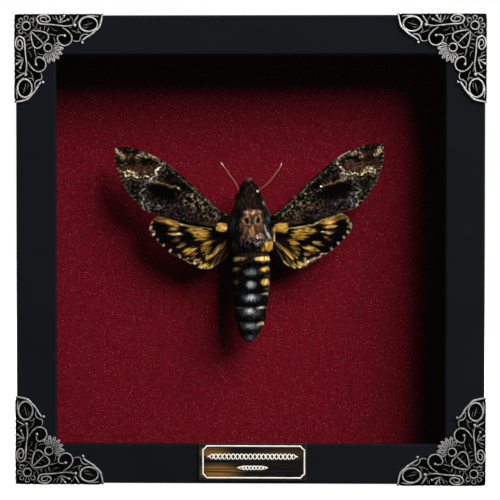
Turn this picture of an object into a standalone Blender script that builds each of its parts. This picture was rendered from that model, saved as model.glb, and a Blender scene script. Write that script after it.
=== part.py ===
"""A shadow-box frame with a hawk moth mounted inside, on a crimson board behind glass.

Run with: blender --background --python part.py
The frame stands on its lower edge, its front facing -Y. The origin is at the middle of its foot.
Depths count along +Y from the front face of the rails.
"""

import math

import bmesh
import bpy
from mathutils import Vector

MM = 0.001

# Driving dimensions
FRAME_SIDE = 200 * MM        # outer width and height of the four rails
FRAME_DEPTH = 40 * MM
RAIL_FACE = 17 * MM          # width of the front face of a rail
RAIL_WALL = 11 * MM          # width of a rail behind its lip
LIP_DEPTH = 4 * MM
EDGE_SOFTENING = 0.8 * MM
GAP = 0.3 * MM               # clearance between pieces that touch

GLASS_THICKNESS = 2 * MM
AIR_DEPTH = 24 * MM          # from the glass to the crimson board
SPACER_THICKNESS = 2.5 * MM
BOARD_THICKNESS = 3 * MM
PANEL_THICKNESS = 2.5 * MM
FIT_CLEARANCE = 0.5 * MM     # round the glass, board and panel in the rabbet

CORNER_ARM = 37.8 * MM       # reach of a corner ornament along the frame
CORNER_RELIEF = 1.1 * MM
CORNER_SHEET = 0.4 * MM      # thickness of the flanges folded over the edge
CORNER_FOLD = 7 * MM         # depth of those flanges

PLATE_SIZE = (46 * MM, 1.0 * MM, 16 * MM)
PLATE_CORNER = 0.6 * MM
PLATE_SHIFT = 1.1 * MM       # the plate was fixed a little right of the middle
PLATE_HEIGHT = 8.9 * MM      # its middle, from the lower edge of the rail

TAB_SIZE = (8 * MM, 0.7 * MM, 14 * MM)
TAB_SPREAD = 45 * MM         # tabs sit this far either side of each rail's middle

HANGER_LENGTH = 46 * MM
HANGER_HEIGHT = 9 * MM
HANGER_THICKNESS = 1 * MM
HANGER_TEETH = 11
HANGER_DROP = 14 * MM        # from the top of the back panel
RIVET_RADIUS = 2 * MM
RIVET_HEIGHT = 0.9 * MM

MOTH_LIFT = 12 * MM          # the moth's middle plane stands this far off the board
WING_THICKNESS = 0.5 * MM
FOREWING_DEPTH = -1.6 * MM   # from the moth's middle plane, towards the glass
HINDWING_DEPTH = -0.5 * MM
ANTENNA_RADIUS = 0.3 * MM
LEG_RADIUS = 0.45 * MM
BLOCK_RADIUS = 4 * MM
BLOCK_RISE = 9 * MM          # its axis, above the frame's middle, under the thorax's widest place

# Places that follow from the driving dimensions
STAND_OFF = CORNER_SHEET + GAP                # the folded flanges lift the rails this much
CENTRE_HEIGHT = STAND_OFF + FRAME_SIDE / 2
FRONT = (CORNER_RELIEF + GAP - FRAME_DEPTH) / 2   # centres the whole object front to back
GLASS_FRONT = FRONT + LIP_DEPTH + GAP
SPACER_FRONT = GLASS_FRONT + GLASS_THICKNESS + GAP
BOARD_FRONT = SPACER_FRONT + AIR_DEPTH + GAP
PANEL_FRONT = BOARD_FRONT + BOARD_THICKNESS + GAP
PANEL_BACK = PANEL_FRONT + PANEL_THICKNESS
RABBET_SIDE = FRAME_SIDE - 2 * RAIL_WALL
INSERT_SIDE = RABBET_SIDE - 2 * FIT_CLEARANCE
MOTH_PLANE = BOARD_FRONT - MOTH_LIFT

# Outlines of the wings in millimetres, as (sideways from the body, up from the frame's middle)
FOREWING = (
    (10.6, 9.8), (10.6, 15.4), (17.0, 20.6), (24.0, 27.2), (31.0, 33.6), (38.2, 39.2), (46.0, 42.9),
    (53.4, 44.9), (57.9, 44.2), (58.0, 39.5), (55.8, 31.2), (52.4, 24.6), (47.6, 19.2), (44.2, 16.9),
    (36.0, 14.9), (26.0, 12.0), (17.0, 10.4),
)
HINDWING = (
    (10.2, 8.2), (20.0, 9.2), (30.0, 11.6), (39.6, 14.2), (43.4, 11.6), (43.6, 8.4), (41.4, 5.0),
    (38.0, 1.6), (34.0, -1.6), (29.0, -4.4), (24.2, -7.2), (19.0, -8.5), (14.8, -6.4), (11.2, -3.6),
    (9.9, 1.0),
)

# Profiles of the body in millimetres, as (height from the frame's middle, half width)
HEAD = ((20.0, 4.6), (22.0, 5.0), (24.5, 4.7), (27.0, 3.5), (29.0, 1.8), (29.8, 0.5))
THORAX = ((1.0, 7.4), (4.0, 8.6), (9.0, 9.2), (13.0, 8.8), (16.5, 7.2), (19.7, 4.9))
ABDOMEN = (
    (-40.4, 0.6), (-38.6, 3.0), (-35.5, 4.8), (-31.0, 6.1), (-25.0, 7.2), (-19.0, 7.9), (-11.0, 8.2),
    (-4.0, 8.1), (0.7, 7.2),
)
HEAD_FLATNESS, THORAX_FLATNESS, ABDOMEN_FLATNESS = 0.80, 0.66, 0.72

# Limbs on the right in millimetres, as (sideways, back from the moth's middle plane, up)
ANTENNA = ((5.4, -1.4, 24.4), (8.0, -1.8, 28.6), (10.8, -1.8, 33.2), (12.9, -1.4, 36.2), (13.7, -1.0, 37.6))
LEGS = {
    "front": ((3.6, 6.2, 14.5), (8.5, 8.0, 13.5), (12.0, 7.2, 15.5), (15.5, 8.8, 16.5)),
    "middle": ((5.4, 7.0, 10.5), (11.0, 8.4, 10.5), (16.5, 7.0, 7.5), (20.0, 8.8, 3.5)),
    "hind": ((5.0, 7.0, 4.5), (10.5, 8.2, 2.5), (14.0, 7.0, -1.5), (16.5, 8.8, -5.0)),
}

# Reach of a corner ornament from the frame's corner in millimetres, at degrees from its arm
CORNER_REACH = (
    (0, 37.8), (6, 36.4), (11, 34.4), (16, 31.4), (20, 31.2), (22, 31.2), (25, 27.6), (29, 26.8),
    (32, 25.4), (35, 24.2), (38, 26.0), (45, 26.7),
)


def clear_scene():
    for item in list(bpy.data.objects):
        bpy.data.objects.remove(item, do_unlink=True)


def make_material(name, colour, roughness, metallic=0.0, transmission=0.0):
    material = bpy.data.materials.new(name)
    material.use_nodes = True
    shader = material.node_tree.nodes["Principled BSDF"]
    shader.inputs["Base Color"].default_value = (*colour, 1.0)
    shader.inputs["Roughness"].default_value = roughness
    shader.inputs["Metallic"].default_value = metallic
    shader.inputs["Transmission Weight"].default_value = transmission
    return material


def add_object(name, bm, material, parent=None, location=(0, 0, 0), smooth=False):
    """Turns a bmesh into a named object."""
    mesh = bpy.data.meshes.new(name)
    bmesh.ops.recalc_face_normals(bm, faces=bm.faces)
    bm.to_mesh(mesh)
    bm.free()
    mesh.materials.append(material)
    if smooth:
        mesh.shade_smooth()
        mesh.set_sharp_from_angle(angle=math.radians(40))
    item = bpy.data.objects.new(name, mesh)
    item.location = location
    item.parent = parent
    bpy.context.scene.collection.objects.link(item)
    return item


def box_mesh(size):
    bm = bmesh.new()
    bmesh.ops.create_cube(bm, size=1)
    bmesh.ops.scale(bm, vec=size, verts=bm.verts)
    return bm


def slab_mesh(outline, near, far):
    """A flat outline of (x, z) points, made solid between two depths."""
    bm = bmesh.new()
    face = bm.faces.new([bm.verts.new((x, near, z)) for x, z in outline])
    raised = bmesh.ops.extrude_face_region(bm, geom=[face])
    moved = [v for v in raised["geom"] if isinstance(v, bmesh.types.BMVert)]
    bmesh.ops.translate(bm, vec=(0, far - near, 0), verts=moved)
    return bm


def curve_through(points, steps, closed):
    """Points along a smooth curve through the given ones, by Catmull and Rom's formula."""
    points = [Vector(p) for p in points]
    count = len(points)
    spans = count if closed else count - 1
    found = []
    for span in range(spans):
        around = []
        for k in range(-1, 3):
            index = (span + k) % count if closed else min(max(span + k, 0), count - 1)
            around.append(points[index])
        before, start, end, after = around
        for step in range(steps):
            t = step / steps
            found.append(0.5 * (
                2 * start + (end - before) * t
                + (2 * before - 5 * start + 4 * end - after) * t ** 2
                + (3 * start - before - 3 * end + after) * t ** 3
            ))
    if not closed:
        found.append(points[-1])
    return found


# ---------------------------------------------------------------- frame

def make_rail(name, quarter_turns, material, frame):
    """One mitred rail. It is drawn as the lower one and turned round the frame's middle."""
    half = FRAME_SIDE / 2
    back = FRONT + FRAME_DEPTH
    soft = EDGE_SOFTENING
    profile = (
        (0, FRONT + soft), (soft, FRONT),
        (RAIL_FACE - soft, FRONT), (RAIL_FACE, FRONT + soft),
        (RAIL_FACE, FRONT + LIP_DEPTH), (RAIL_WALL, FRONT + LIP_DEPTH),
        (RAIL_WALL, back), (0, back),
    )
    mitre_gap = GAP / 2
    bm = bmesh.new()
    ends = [
        [bm.verts.new((side * (half - inward - mitre_gap), y, inward - half)) for inward, y in profile]
        for side in (-1, 1)
    ]
    for ring in ends:
        bm.faces.new(ring)
    bmesh.ops.bridge_loops(bm, edges=bm.edges[:])
    rail = add_object(name, bm, material, frame)
    rail.rotation_euler = (0, -math.radians(90) * quarter_turns, 0)
    return rail


def make_frame(frame):
    black_wood = make_material("black_wood", (0.011, 0.012, 0.014), 0.5)
    for turns, side in enumerate(("bottom", "right", "top", "left")):
        make_rail("rail_" + side, turns, black_wood, frame)


# ---------------------------------------------------------------- insides of the box

def make_layer(name, front, thickness, material, frame):
    """A square sheet that fills the rabbet."""
    bm = box_mesh((INSERT_SIDE, thickness, INSERT_SIDE))
    return add_object(name, bm, material, frame, (0, front + thickness / 2, 0))


def make_spacers(frame):
    black_card = make_material("spacer_black", (0.012, 0.010, 0.011), 0.8)
    middle = SPACER_FRONT + AIR_DEPTH / 2
    reach = (INSERT_SIDE - SPACER_THICKNESS) / 2
    short = INSERT_SIDE - 2 * (SPACER_THICKNESS + GAP)
    for name, side in (("spacer_left", -1), ("spacer_right", 1)):
        bm = box_mesh((SPACER_THICKNESS, AIR_DEPTH, INSERT_SIDE))
        add_object(name, bm, black_card, frame, (side * reach, middle, 0))
    for name, side in (("spacer_bottom", -1), ("spacer_top", 1)):
        bm = box_mesh((short, AIR_DEPTH, SPACER_THICKNESS))
        add_object(name, bm, black_card, frame, (0, middle, side * reach))


def make_layers(frame):
    glass = make_material("clear_glass", (1, 1, 1), 0.02, transmission=1.0)
    crimson = make_material("crimson_board", (0.155, 0.007, 0.014), 0.85)
    hardboard = make_material("hardboard", (0.20, 0.12, 0.07), 0.8)
    make_layer("glass_pane", GLASS_FRONT, GLASS_THICKNESS, glass, frame)
    make_layer("mount_board", BOARD_FRONT, BOARD_THICKNESS, crimson, frame)
    make_layer("back_panel", PANEL_FRONT, PANEL_THICKNESS, hardboard, frame)


# ---------------------------------------------------------------- hardware on the back

def make_tabs(frame):
    steel = make_material("tab_steel", (0.35, 0.35, 0.36), 0.4, 1.0)
    inward = RABBET_SIDE / 2 - GAP - TAB_SIZE[2] / 2
    depth = PANEL_BACK + GAP + TAB_SIZE[1] / 2
    for turns, side in enumerate(("bottom", "right", "top", "left")):
        angle = math.radians(90) * turns
        out = Vector((math.sin(angle), 0, -math.cos(angle)))
        along = Vector((math.cos(angle), 0, math.sin(angle)))
        for number, step in ((1, -TAB_SPREAD), (2, TAB_SPREAD)):
            place = out * inward + along * step + Vector((0, depth, 0))
            tab = add_object(f"back_tab_{side}_{number}", box_mesh(TAB_SIZE), steel, frame, place)
            tab.rotation_euler = (0, -angle, 0)


def make_hanger(frame):
    """A sawtooth strip on the back panel, held by two rivets."""
    steel = make_material("hanger_steel", (0.55, 0.54, 0.50), 0.35, 1.0)
    top = INSERT_SIDE / 2 - HANGER_DROP
    bottom = top - HANGER_HEIGHT
    half = HANGER_LENGTH / 2
    toothed_half = half - 6 * MM
    tooth = 2 * toothed_half / HANGER_TEETH
    outline = [(-half, bottom), (-half, top), (half, top), (half, bottom), (toothed_half, bottom)]
    for count in range(HANGER_TEETH):
        right = toothed_half - count * tooth
        outline.append((right - tooth / 2, bottom + 2.2 * MM))
        outline.append((right - tooth, bottom))
    near = PANEL_BACK + GAP
    far = near + HANGER_THICKNESS
    add_object("hanger_strip", slab_mesh(outline, near, far), steel, frame)
    for name, side in (("hanger_rivet_left", -1), ("hanger_rivet_right", 1)):
        bm = bmesh.new()
        bmesh.ops.create_cone(
            bm, cap_ends=True, segments=20, radius1=RIVET_RADIUS, radius2=RIVET_RADIUS * 0.6,
            depth=RIVET_HEIGHT,
        )
        rivet = add_object(name, bm, steel, frame, smooth=True)
        rivet.rotation_euler = (-math.radians(90), 0, 0)
        rivet.location = (side * (half - 3 * MM), far + GAP + RIVET_HEIGHT / 2, top - 3.4 * MM)


# ---------------------------------------------------------------- trim on the front

def corner_outline():
    """The ornament's outline on the front, from one arm's end round to the other's, then the corner."""
    reach = [Vector((math.radians(a), r * MM, 0)) for a, r in CORNER_REACH]
    half_turn = curve_through(reach, 3, False)
    points = [(p.y * math.cos(p.x), p.y * math.sin(p.x)) for p in half_turn]
    points += [(b, a) for a, b in reversed(points[:-1])]
    return points + [(0.0, 0.0)]


def make_corner(name, side, rise, material, frame):
    """A pressed corner: its relief on the front, and two flanges folded back over the outer edges."""
    half = FRAME_SIDE / 2 + STAND_OFF
    sheet = CORNER_SHEET

    def place(a, b):
        return side * (half - a), rise * (half - b)

    front = [place(a + (sheet if a else 0), b + (sheet if b else 0)) for a, b in corner_outline()]
    near = FRONT - GAP
    ornament = add_object(name, slab_mesh(front, near, near - CORNER_RELIEF), material, frame)
    fold = FRONT + CORNER_FOLD
    for turned in (False, True):
        bm = bmesh.new()
        corners = ((0, near - CORNER_RELIEF / 2), (CORNER_ARM - 1 * MM, near - CORNER_RELIEF / 2),
                   (CORNER_ARM - 4 * MM, fold), (0, fold))
        rings = []
        for off in (0, sheet):
            ring = []
            for along, y in corners:
                x, z = place(off, along) if turned else place(along, off)
                ring.append(bm.verts.new((x, y, z)))
            rings.append(ring)
        for ring in rings:
            bm.faces.new(ring)
        bmesh.ops.bridge_loops(bm, edges=bm.edges[:])
        flange = add_object(name + "_flange" + str(int(turned)), bm, material, frame)
        flange.hide_render = True
        flange.display_type = "WIRE"
        join = ornament.modifiers.new("fold", "BOOLEAN")
        join.operation = "UNION"
        join.object = flange


def make_trim(frame):
    silver = make_material("antique_silver", (0.42, 0.41, 0.39), 0.35, 1.0)
    bronze = make_material("plate_bronze", (0.09, 0.065, 0.035), 0.35, 0.9)
    for name, side, rise in (
        ("top_left", -1, 1), ("top_right", 1, 1), ("bottom_left", -1, -1), ("bottom_right", 1, -1),
    ):
        make_corner("corner_" + name, side, rise, silver, frame)
    bm = box_mesh(PLATE_SIZE)
    upright = [e for e in bm.edges if abs(e.verts[0].co.y - e.verts[1].co.y) > PLATE_SIZE[1] / 2]
    bmesh.ops.bevel(
        bm, geom=upright, offset=PLATE_CORNER, segments=3, profile=0.5, affect="EDGES", material=-1,
    )
    depth = FRONT - GAP - PLATE_SIZE[1] / 2
    place = (PLATE_SHIFT, depth, PLATE_HEIGHT - FRAME_SIDE / 2)
    add_object("name_plate", bm, bronze, frame, place)


# ---------------------------------------------------------------- the moth

def make_body_piece(name, profile, flatness, material, moth):
    """A turned body piece about the moth's long axis, flattened from back to belly."""
    bm = bmesh.new()
    rim = [bm.verts.new((half_width * MM, 0, height * MM)) for height, half_width in profile]
    edges = [bm.edges.new((a, b)) for a, b in zip(rim, rim[1:])]
    bmesh.ops.spin(
        bm, geom=rim + edges, cent=(0, 0, 0), axis=(0, 0, 1), angle=math.tau, steps=24, use_merge=True,
    )
    ends = [e for e in bm.edges if e.is_boundary]
    bmesh.ops.edgeloop_fill(bm, edges=ends)
    bmesh.ops.scale(bm, vec=(1, flatness, 1), verts=bm.verts)
    return add_object(name, bm, material, moth, smooth=True)


def make_wing(name, outline, depth, side, material, moth):
    points = curve_through([(x * MM * side, z * MM, 0) for x, z in outline], 3, True)
    flat = [(p.x, p.y) for p in points]
    half = WING_THICKNESS / 2
    return add_object(name, slab_mesh(flat, depth - half, depth + half), material, moth)


def make_tube(name, route, radius, material, moth, tip_share=1.0):
    """A thin limb along a route of (x, y, z) points in millimetres."""
    curve = bpy.data.curves.new(name, "CURVE")
    curve.dimensions = "3D"
    curve.bevel_depth = radius
    curve.bevel_resolution = 1
    curve.use_fill_caps = True
    points = curve_through([Vector(p) * MM for p in route], 4, False)
    spline = curve.splines.new("POLY")
    spline.points.add(len(points) - 1)
    for count, point in enumerate(points):
        spline.points[count].co = (*point, 1)
        spline.points[count].radius = 1 + (tip_share - 1) * count / (len(points) - 1)
    curve.materials.append(material)
    limb = bpy.data.objects.new(name, curve)
    limb.parent = moth
    bpy.context.scene.collection.objects.link(limb)
    return limb


def make_moth(moth):
    fur = make_material("moth_fur", (0.035, 0.026, 0.020), 0.9)
    scales = make_material("moth_abdomen", (0.03, 0.03, 0.032), 0.8)
    dark_wing = make_material("wing_brown", (0.05, 0.04, 0.03), 0.8)
    yellow_wing = make_material("wing_yellow", (0.45, 0.26, 0.06), 0.8)
    horn = make_material("antenna_brown", (0.20, 0.12, 0.09), 0.5)
    make_body_piece("moth_head", HEAD, HEAD_FLATNESS, fur, moth)
    make_body_piece("moth_thorax", THORAX, THORAX_FLATNESS, fur, moth)
    make_body_piece("moth_abdomen", ABDOMEN, ABDOMEN_FLATNESS, scales, moth)
    for word, side in (("left", -1), ("right", 1)):
        make_wing("forewing_" + word, FOREWING, FOREWING_DEPTH, side, dark_wing, moth)
        make_wing("hindwing_" + word, HINDWING, HINDWING_DEPTH, side, yellow_wing, moth)
        route = [(side * x, y, z) for x, y, z in ANTENNA]
        make_tube("antenna_" + word, route, ANTENNA_RADIUS, horn, moth)
        for pair, leg in LEGS.items():
            route = [(side * x, y, z) for x, y, z in leg]
            make_tube(f"leg_{pair}_{word}", route, LEG_RADIUS, horn, moth, tip_share=0.6)


def make_block(moth):
    """The black foam block that the thorax is glued to, between the moth and the board."""
    foam = make_material("foam_black", (0.02, 0.02, 0.02), 0.9)
    near = max(half_width for _, half_width in THORAX) * THORAX_FLATNESS * MM + GAP
    far = MOTH_LIFT - GAP
    bm = bmesh.new()
    bmesh.ops.create_cone(
        bm, cap_ends=True, segments=24, radius1=BLOCK_RADIUS, radius2=BLOCK_RADIUS, depth=far - near,
    )
    block = add_object("mounting_block", bm, foam, moth, smooth=True)
    block.rotation_euler = (math.radians(90), 0, 0)
    block.location = (0, (near + far) / 2, BLOCK_RISE)


def main():
    clear_scene()
    frame = bpy.data.objects.new("frame_centre", None)
    frame.location = (0, 0, CENTRE_HEIGHT)
    bpy.context.scene.collection.objects.link(frame)
    moth = bpy.data.objects.new("moth_centre", None)
    moth.parent = frame
    moth.location = (0, MOTH_PLANE, 0)
    bpy.context.scene.collection.objects.link(moth)
    make_frame(frame)
    make_spacers(frame)
    make_layers(frame)
    make_tabs(frame)
    make_hanger(frame)
    make_trim(frame)
    make_moth(moth)
    make_block(moth)


main()
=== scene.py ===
# Looks of the framed hawk moth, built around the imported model.
# Lengths are millimetres, counted from the middle of the frame, unless a name or a note says metres.
import math

import bmesh
import bpy
import numpy as np
from mathutils import Matrix, Vector


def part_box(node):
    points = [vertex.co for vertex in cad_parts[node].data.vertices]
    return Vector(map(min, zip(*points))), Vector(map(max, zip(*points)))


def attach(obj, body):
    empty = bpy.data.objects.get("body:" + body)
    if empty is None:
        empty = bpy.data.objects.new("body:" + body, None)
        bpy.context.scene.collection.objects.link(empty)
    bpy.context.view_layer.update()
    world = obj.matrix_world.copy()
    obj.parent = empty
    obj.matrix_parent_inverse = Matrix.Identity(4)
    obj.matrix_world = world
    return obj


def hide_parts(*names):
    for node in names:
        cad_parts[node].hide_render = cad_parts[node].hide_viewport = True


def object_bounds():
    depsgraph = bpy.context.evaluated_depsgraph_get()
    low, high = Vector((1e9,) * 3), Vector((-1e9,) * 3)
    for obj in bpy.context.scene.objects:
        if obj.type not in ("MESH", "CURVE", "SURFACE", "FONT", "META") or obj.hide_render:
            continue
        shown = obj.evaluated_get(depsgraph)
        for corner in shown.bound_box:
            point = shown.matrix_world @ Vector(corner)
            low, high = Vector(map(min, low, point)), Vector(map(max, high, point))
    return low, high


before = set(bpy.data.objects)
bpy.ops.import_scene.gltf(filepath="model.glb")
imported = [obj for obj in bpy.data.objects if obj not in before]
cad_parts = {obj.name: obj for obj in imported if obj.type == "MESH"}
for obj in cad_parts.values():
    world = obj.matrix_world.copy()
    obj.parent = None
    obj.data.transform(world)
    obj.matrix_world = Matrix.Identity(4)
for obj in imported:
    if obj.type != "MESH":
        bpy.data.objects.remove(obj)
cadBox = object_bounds()
print("frame loaded:", len(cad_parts), "nodes")

mm = 0.001


def middle(node):
    low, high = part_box(node)
    return (low + high) / 2


# places that every piece is set out from, in metres
centre = middle("glass_pane")
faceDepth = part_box("rail_top")[0].y          # front of the rails
mothDepth = middle("moth_thorax").y          # middle plane of the moth
mothShift = (-0.45, 0.0, -0.15)              # it was pinned a little left of the middle, in millimetres
towardsFront = np.array((0.0, -1.0, 0.0))


def place(points, shift=(0, 0, 0)):
    # millimetres from the middle of the frame, back from the moth's plane, to metres in the model
    return (np.asarray(points, float) + shift) * mm + np.array((centre.x, mothDepth, centre.z))


def hexToLinear(code):
    # sRGB hex to the linear colour that shaders and attributes take
    parts = [int(code[i:i + 2], 16) / 255 for i in (1, 3, 5)]
    return np.array([p / 12.92 if p <= 0.04045 else ((p + 0.055) / 1.055) ** 2.4 for p in parts])


def rgba(code):
    return (*hexToLinear(code), 1.0)


# noise and masks for markings, all on arrays

def latticeValue(i, j, seed):
    mixed = (i.astype(np.int64) * 374761393 + j.astype(np.int64) * 668265263 + seed * 974711) & 0xFFFFFFFF
    mixed = ((mixed ^ (mixed >> 13)) * 1274126177) & 0xFFFFFFFF
    return ((mixed ^ (mixed >> 16)) & 0xFFFF) / 65535.0


def noise(x, y, seed):
    i, j = np.floor(x), np.floor(y)
    fx, fy = x - i, y - j
    fx, fy = fx * fx * (3 - 2 * fx), fy * fy * (3 - 2 * fy)
    low = latticeValue(i, j, seed) * (1 - fx) + latticeValue(i + 1, j, seed) * fx
    high = latticeValue(i, j + 1, seed) * (1 - fx) + latticeValue(i + 1, j + 1, seed) * fx
    return low * (1 - fy) + high * fy


def cloud(x, y, size, seed, octaves=3):
    total, weight = 0.0, 0.0
    for k in range(octaves):
        total = total + noise(x / size * 2 ** k, y / size * 2 ** k, seed + k) / 2 ** k
        weight += 1 / 2 ** k
    return total / weight


def ease(low, high, value):
    t = np.clip((value - low) / (high - low), 0, 1)
    return t * t * (3 - 2 * t)


def awayFrom(x, z, route):
    # distance to a line through the route's points
    best = np.full(np.shape(x), 1e9)
    for (ax, az), (bx, bz) in zip(route, route[1:]):
        dx, dz = bx - ax, bz - az
        t = np.clip(((x - ax) * dx + (z - az) * dz) / (dx * dx + dz * dz), 0, 1)
        best = np.minimum(best, np.hypot(x - ax - t * dx, z - az - t * dz))
    return best


def blob(x, z, spot, soft=0.5):
    # a soft oval: (x, z, half width, half height, turn in degrees)
    cx, cz, rx, rz, turn = (*spot, 0)[:5]
    c, s = math.cos(math.radians(turn)), math.sin(math.radians(turn))
    u, v = (x - cx) * c + (z - cz) * s, (z - cz) * c - (x - cx) * s
    return 1 - ease(1 - soft, 1 + soft, np.hypot(u / rx, v / rz))


def tint(colours, mask, code):
    return colours + (hexToLinear(code) - colours) * np.asarray(mask)[..., None]


def even(x, code):
    # one colour all over
    return np.zeros(x.shape + (3,)) + hexToLinear(code)


def paintSpots(colours, x, z, spots):
    # soft ovals laid one over another: (oval, softness, share, colour)
    for spot, soft, much, code in spots:
        colours = tint(colours, blob(x, z, spot, soft) * much, code)
    return colours


def nearLine(x, z, route, width):
    # 1 on the line, fading out past its half width
    return np.exp(-(awayFrom(x, z, route) / width) ** 2)


def wandered(x, z, much, size, seed, otherSeed):
    # places pushed about by clouds, so that drawn edges wander
    return x + much * (cloud(x, z, size, seed) - 0.5), z + much * (cloud(x, z, size, otherSeed) - 0.5)


def harsh(colours, dim):
    # dark scales drink the light and pale ones throw it back
    return colours * dim * (0.75 + 1.1 * colours.max(axis=-1, keepdims=True))


def smoothLine(points, count):
    # evenly spaced points on a smooth curve through the given ones
    points = np.asarray(points, float)
    padded = np.vstack((2 * points[0] - points[1], points, 2 * points[-1] - points[-2]))
    fine = []
    for k in range(len(points) - 1):
        a, b, c, d = padded[k:k + 4]
        for t in np.linspace(0, 1, 24, endpoint=k == len(points) - 2):
            fine.append(0.5 * (2 * b + (c - a) * t + (2 * a - 5 * b + 4 * c - d) * t ** 2
                               + (3 * b - a - 3 * c + d) * t ** 3))
    fine = np.array(fine)
    run = np.concatenate(((0,), np.cumsum(np.linalg.norm(np.diff(fine, axis=0), axis=1))))
    wanted = np.linspace(0, run[-1], count)
    return np.stack([np.interp(wanted, run, fine[:, k]) for k in range(fine.shape[1])], axis=1)


def unit(vectors):
    return vectors / np.linalg.norm(vectors, axis=-1, keepdims=True)


# building helpers

def addPiece(name, mesh, materials, replaced=(), smooth=True):
    # a finished piece: at the origin, riding on the only body
    piece = bpy.data.objects.new(name, mesh)
    bpy.context.scene.collection.objects.link(piece)
    for material in materials:
        mesh.materials.append(material)
    if smooth:
        mesh.shade_smooth()
    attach(piece, "root")
    if replaced:
        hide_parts(*replaced)
    return piece


def finishMesh(bm, mesh):
    bmesh.ops.recalc_face_normals(bm, faces=bm.faces)
    bm.to_mesh(mesh)
    bm.free()
    return mesh


def meshFrom(name, bm):
    return finishMesh(bm, bpy.data.meshes.new(name))


def pointsOf(mesh):
    points = np.empty(len(mesh.vertices) * 3)
    mesh.vertices.foreach_get("co", points)
    return points.reshape(-1, 3)


def mothPlaces(mesh):
    # points of a piece of the moth, back in its own millimetres
    return (pointsOf(mesh) - place((0, 0, 0), mothShift)) / mm


def movePoints(mesh, points):
    mesh.vertices.foreach_set("co", np.asarray(points, float).ravel())
    mesh.update()


def paint(mesh, colours):
    # colours on the points, which painted materials read by this name
    layer = mesh.attributes.new("scales", "FLOAT_COLOR", "POINT")
    full = np.ones((len(mesh.vertices), 4))
    full[:, :3] = np.clip(colours, 0, 1)
    layer.data.foreach_set("color", full.ravel())


def hairs(name, roots, start, end, facing, length, width, colours, material):
    # flat tapering hairs in one mesh: each is a quad and a triangle, lying across `facing`
    rows = len(roots)
    length, width = np.asarray(length)[:, None], np.asarray(width)[:, None]
    bent = roots + start * length * 0.5
    tips = bent + end * length * 0.5
    across = np.cross(start, facing)
    across /= np.linalg.norm(across, axis=1, keepdims=True) + 1e-9
    corners = np.stack((roots - across * width / 2, roots + across * width / 2,
                        bent - across * width * 0.4, bent + across * width * 0.4, tips), axis=1)
    first = np.arange(rows)[:, None] * 5
    quads = (first + np.array((0, 1, 3, 2))).tolist()
    ends = (first + np.array((2, 3, 4))).tolist()
    mesh = bpy.data.meshes.new(name)
    mesh.from_pydata(place(corners.reshape(-1, 3), mothShift).tolist(), [], quads + ends)
    rootToTip = np.tile((0.55, 0.55, 0.9, 0.9, 1.15), rows)[:, None]    # hairs pale towards their tips
    paint(mesh, np.repeat(colours, 5, axis=0) * rootToTip)
    return addPiece(name, mesh, [material])


def tubes(name, routes, resolution=1, shift=(0, 0, 0)):
    # round wires along rows of (x, depth, z, radius), made into one mesh
    curve = bpy.data.curves.new(name, "CURVE")
    curve.dimensions = "3D"
    curve.bevel_depth = mm
    curve.bevel_resolution = resolution
    curve.use_fill_caps = True
    for route in routes:
        spline = curve.splines.new("POLY")
        spline.points.add(len(route) - 1)
        for point, row in zip(spline.points, route):
            point.co = (*place(row[:3], shift), 1)
            point.radius = row[3]
    helper = bpy.data.objects.new(name, curve)
    mesh = bpy.data.meshes.new_from_object(helper)
    bpy.data.objects.remove(helper)
    bpy.data.curves.remove(curve)
    return mesh


# node materials

def addNode(tree, kind, settings=None, inputs=None):
    # one node, with its settings, and constants or links for its inputs
    node = tree.nodes.new(kind)
    for name, value in (settings or {}).items():
        setattr(node, name, value)
    for key, value in (inputs or {}).items():
        if isinstance(value, bpy.types.NodeSocket):
            tree.links.new(value, node.inputs[key])
        else:
            node.inputs[key].default_value = value
    return node


def startMaterial(name, values):
    # a Principled surface with its constants on its own sockets
    material = bpy.data.materials.new(name)
    material.use_nodes = True
    tree = material.node_tree
    shader = tree.nodes["Principled BSDF"]
    for key, value in values.items():
        shader.inputs[key].default_value = value
    return material, tree, shader


def grainOf(tree, size, detail=2, roughness=0.5, stretch=None):
    # noise whose grains have a real size, in millimetres
    where = addNode(tree, "ShaderNodeTexCoord").outputs["Object"]
    if stretch:
        where = addNode(tree, "ShaderNodeMapping", None, {"Vector": where, "Scale": stretch}).outputs[0]
    return addNode(tree, "ShaderNodeTexNoise", None, {
        "Vector": where, "Scale": 1000 / size, "Detail": detail, "Roughness": roughness}).outputs["Fac"]


def remap(tree, value, low, high, toLow=0.0, toHigh=1.0):
    return addNode(tree, "ShaderNodeMapRange", None, {
        "Value": value, "From Min": low, "From Max": high, "To Min": toLow, "To Max": toHigh}).outputs[0]


def blend(tree, share, low, high):
    return addNode(tree, "ShaderNodeMix", {"data_type": "RGBA"}, {0: share, 6: low, 7: high}).outputs[2]


def paintedColour(tree, times=None):
    # the colour painted on the points, made lighter and darker by a factor
    colour = addNode(tree, "ShaderNodeAttribute", {"attribute_name": "scales"}).outputs["Color"]
    if times is None:
        return colour
    scaled = addNode(tree, "ShaderNodeVectorMath", {"operation": "SCALE"}, {0: colour, "Scale": times})
    return scaled.outputs[0]


def surface(tree, shader, colour, relief=None, strength=0.5, depth=0.1):
    # joins up a colour and a relief, whose depth is in millimetres
    tree.links.new(colour, shader.inputs["Base Color"])
    if relief:
        bump = addNode(tree, "ShaderNodeBump", None, {
            "Height": relief, "Strength": strength, "Distance": depth * mm})
        tree.links.new(bump.outputs["Normal"], shader.inputs["Normal"])


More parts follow.
